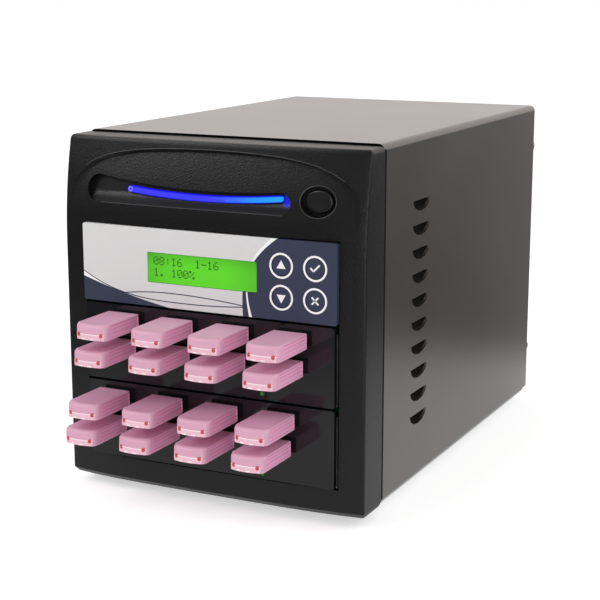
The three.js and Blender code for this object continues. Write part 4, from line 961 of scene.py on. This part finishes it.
def fingerGuard():
    # three wire rings welded to two crossed wires, whose flat eyes take the fan's screws
    guard = {"wire": 0.9, "rings": (10.87, 23.53, 36.2), "steps": 72, "sides": 10}
    eye = {"radius": 3.1, "spot": 35.75, "sides": 24, "edge": 0.35}
    centre = Vector(middle("fan_guard"))
    mesh = bmesh.new()
    for radius in guard["rings"]:
        place = Matrix.Translation(centre + Vector((radius * mm, 0, 0)))
        bmesh.ops.create_circle(mesh, segments=guard["sides"], radius=guard["wire"] * mm, matrix=place)
        ring = [edge for edge in mesh.edges if not edge.link_faces]
        bmesh.ops.spin(
            mesh, geom=ring, cent=centre, axis=(0, 1, 0), angle=2 * math.pi, steps=guard["steps"],
            use_merge=True,
        )
    for turn in (quarter, -quarter):
        place = Matrix.Translation(centre) @ Matrix.Rotation(turn, 4, "Y")
        addDisc(mesh, guard["sides"], guard["wire"] * mm, 2 * math.sqrt(2) * eye["spot"] * mm, place)
    for x in (-eye["spot"], eye["spot"]):
        for z in (-eye["spot"], eye["spot"]):
            place = Matrix.Translation(centre + Vector((x, 0, z)) * mm) @ Matrix.Rotation(math.pi / 2, 4, "X")
            disc = addDisc(mesh, eye["sides"], eye["radius"] * mm, 2 * guard["wire"] * mm, place)
            edges = {edge for point in disc for edge in point.link_edges if len(edge.link_faces) == 2}
            rim = [edge for edge in edges if edge.calc_face_angle() > 1.2]
            roundEdges(mesh, rim, eye["edge"] * mm, 2)
    item = addPiece("fingerGuard", mesh, wire, "case")
    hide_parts("fan_guard")
    for face in item.data.polygons:
        face.use_smooth = len(face.vertices) == 4


fingerGuard()
print("finger guard finished")


def studioFloor():
    # white, and lifted a little where the camera sees it, so that the shadow stays; a reflection finds
    # it dimmer away from the object, with the painted light of a window in front and of a pale wall behind
    floor = {"white": 0.86, "lift": 0.5, "size": 1000}
    mirror = {"level": 0.72, "dim": 0.86, "front": (0.18, 0.5), "behind": (0.3, 0.45), "most": 4.0}
    window = {"x": (60, 260), "y": (250, 500), "level": 2.0}
    wall = {"slope": (2.2, 3.2), "x": (0, 60), "level": 0.24}
    paint = Paint("studioFloor")
    x, y, _ = paint.axes()
    rays = paint.node("ShaderNodeLightPath").socket.node.outputs
    kinds = ("Camera", "Glossy", "Transmission")
    seen, glossy, through = [Wire(paint, rays[f"Is {kind} Ray"]) for kind in kinds]
    away = distance(x, y) / floor["size"]
    fade = (away.clear(*mirror["front"]) * (y < 0)).most(away.clear(*mirror["behind"]) * (y > 0))
    fade = 1 - fade * mirror["dim"]
    matte = paint.node("ShaderNodeBsdfDiffuse", None, {"Color": grey(floor["white"])})
    glow = paint.node("ShaderNodeEmission", None, {"Color": grey(1), "Strength": floor["lift"]})
    lifted = paint.node("ShaderNodeAddShader", None, [matte, glow])
    lit = paint.node("ShaderNodeMixShader", None, [seen, matte, lifted])
    # painted light of a window and of a wall, seen only in reflections
    windowLight = x.clear(*window["x"]) * (0 - y).clear(*window["y"]) * window["level"]
    wallLight = (y / x.most(1)).clear(*wall["slope"]) * x.clear(*wall["x"]) * wall["level"]
    level = fade * mirror["level"] + windowLight + wallLight
    shade = paint.mix(level / mirror["most"], grey(0), grey(1))
    mirrored = paint.node("ShaderNodeEmission", None, {"Color": shade, "Strength": mirror["most"]})
    both = paint.node("ShaderNodeMixShader", None, [glossy.most(through), lit, mirrored])
    paint.tree.links.new(both.socket, paint.out.inputs["Surface"])
    return paint.material


def addFloor():
    mesh = bmesh.new()
    bmesh.ops.create_grid(mesh, x_segments=1, y_segments=1, size=12)
    data = bpy.data.meshes.new("floor")
    mesh.to_mesh(data)
    mesh.free()
    data.materials.append(studioFloor())
    item = bpy.data.objects.new("floor", data)
    item.location.z = -0.0001  # just under the feet
    scene.collection.objects.link(item)


def addLamp(name, power, size, place, aim):
    data = bpy.data.lights.new(name, "AREA")
    data.energy = power
    data.size = size
    item = bpy.data.objects.new(name, data)
    item.location = place
    item.rotation_euler = (Vector(aim) - Vector(place)).to_track_quat("-Z", "Y").to_euler()
    scene.collection.objects.link(item)


def addWorld():
    # white behind the object; reflections find the dimmer room in front of it
    sky = {"ambient": 0.64, "white": 1.0, "room": 0.26, "from": -0.5, "to": 0.3, "warm": (1, 0.93, 0.9, 1)}
    world = bpy.data.worlds.new("studio")
    world.use_nodes = True
    tree = world.node_tree
    tree.nodes.clear()
    out = tree.nodes.new("ShaderNodeOutputWorld")
    back = tree.nodes.new("ShaderNodeBackground")
    path = tree.nodes.new("ShaderNodeLightPath")
    warmth = tree.nodes.new("ShaderNodeMix")
    warmth.data_type = "RGBA"
    warmth.inputs[6].default_value = grey(1)
    warmth.inputs[7].default_value = sky["warm"]
    tree.links.new(path.outputs["Is Glossy Ray"], warmth.inputs[0])
    tree.links.new(warmth.outputs[2], back.inputs["Color"])
    way = tree.nodes.new("ShaderNodeTexCoord")
    split = tree.nodes.new("ShaderNodeSeparateXYZ")
    room = tree.nodes.new("ShaderNodeMapRange")
    room.interpolation_type = "SMOOTHSTEP"
    limits = {"From Min": sky["from"], "From Max": sky["to"], "To Min": sky["room"], "To Max": sky["white"]}
    for name, value in limits.items():
        room.inputs[name].default_value = value
    tree.links.new(way.outputs["Generated"], split.inputs[0])
    tree.links.new(split.outputs["Y"], room.inputs["Value"])
    level = sky["ambient"]
    sources = {"Glossy": room.outputs[0], "Camera": sky["white"], "Transmission": sky["white"]}
    for ray, source in sources.items():
        blend = tree.nodes.new("ShaderNodeMix")
        tree.links.new(path.outputs[f"Is {ray} Ray"], blend.inputs[0])
        for socket, value in ((blend.inputs[2], level), (blend.inputs[3], source)):
            if isinstance(value, float):
                socket.default_value = value
            else:
                tree.links.new(value, socket)
        level = blend.outputs[0]
    tree.links.new(level, back.inputs["Strength"])
    tree.links.new(back.outputs[0], out.inputs["Surface"])
    scene.world = world


# power in watts, size in metres, place, and the point that it faces
lamps = {
    "keyLamp": (8, 0.8, (-1.0, -1.1, 1.4), (0, 0, 0.1)),
    "windowLamp": (1.9, 0.3, (-1.04, -1.14, 0.9), (0, 0, 0.15)),
    "fillLamp": (8, 1.5, (1.6, 0.35, 0.95), (0, 0, 0.1)),
    "roomLamp": (5, 0.7, (0.95, -1.6, 0.5), (0, -0.1, 0.1)),
}

addFloor()
addWorld()
for name, lamp in lamps.items():
    addLamp(name, *lamp)
scene.view_settings.view_transform = "Standard"
print("studio lit")
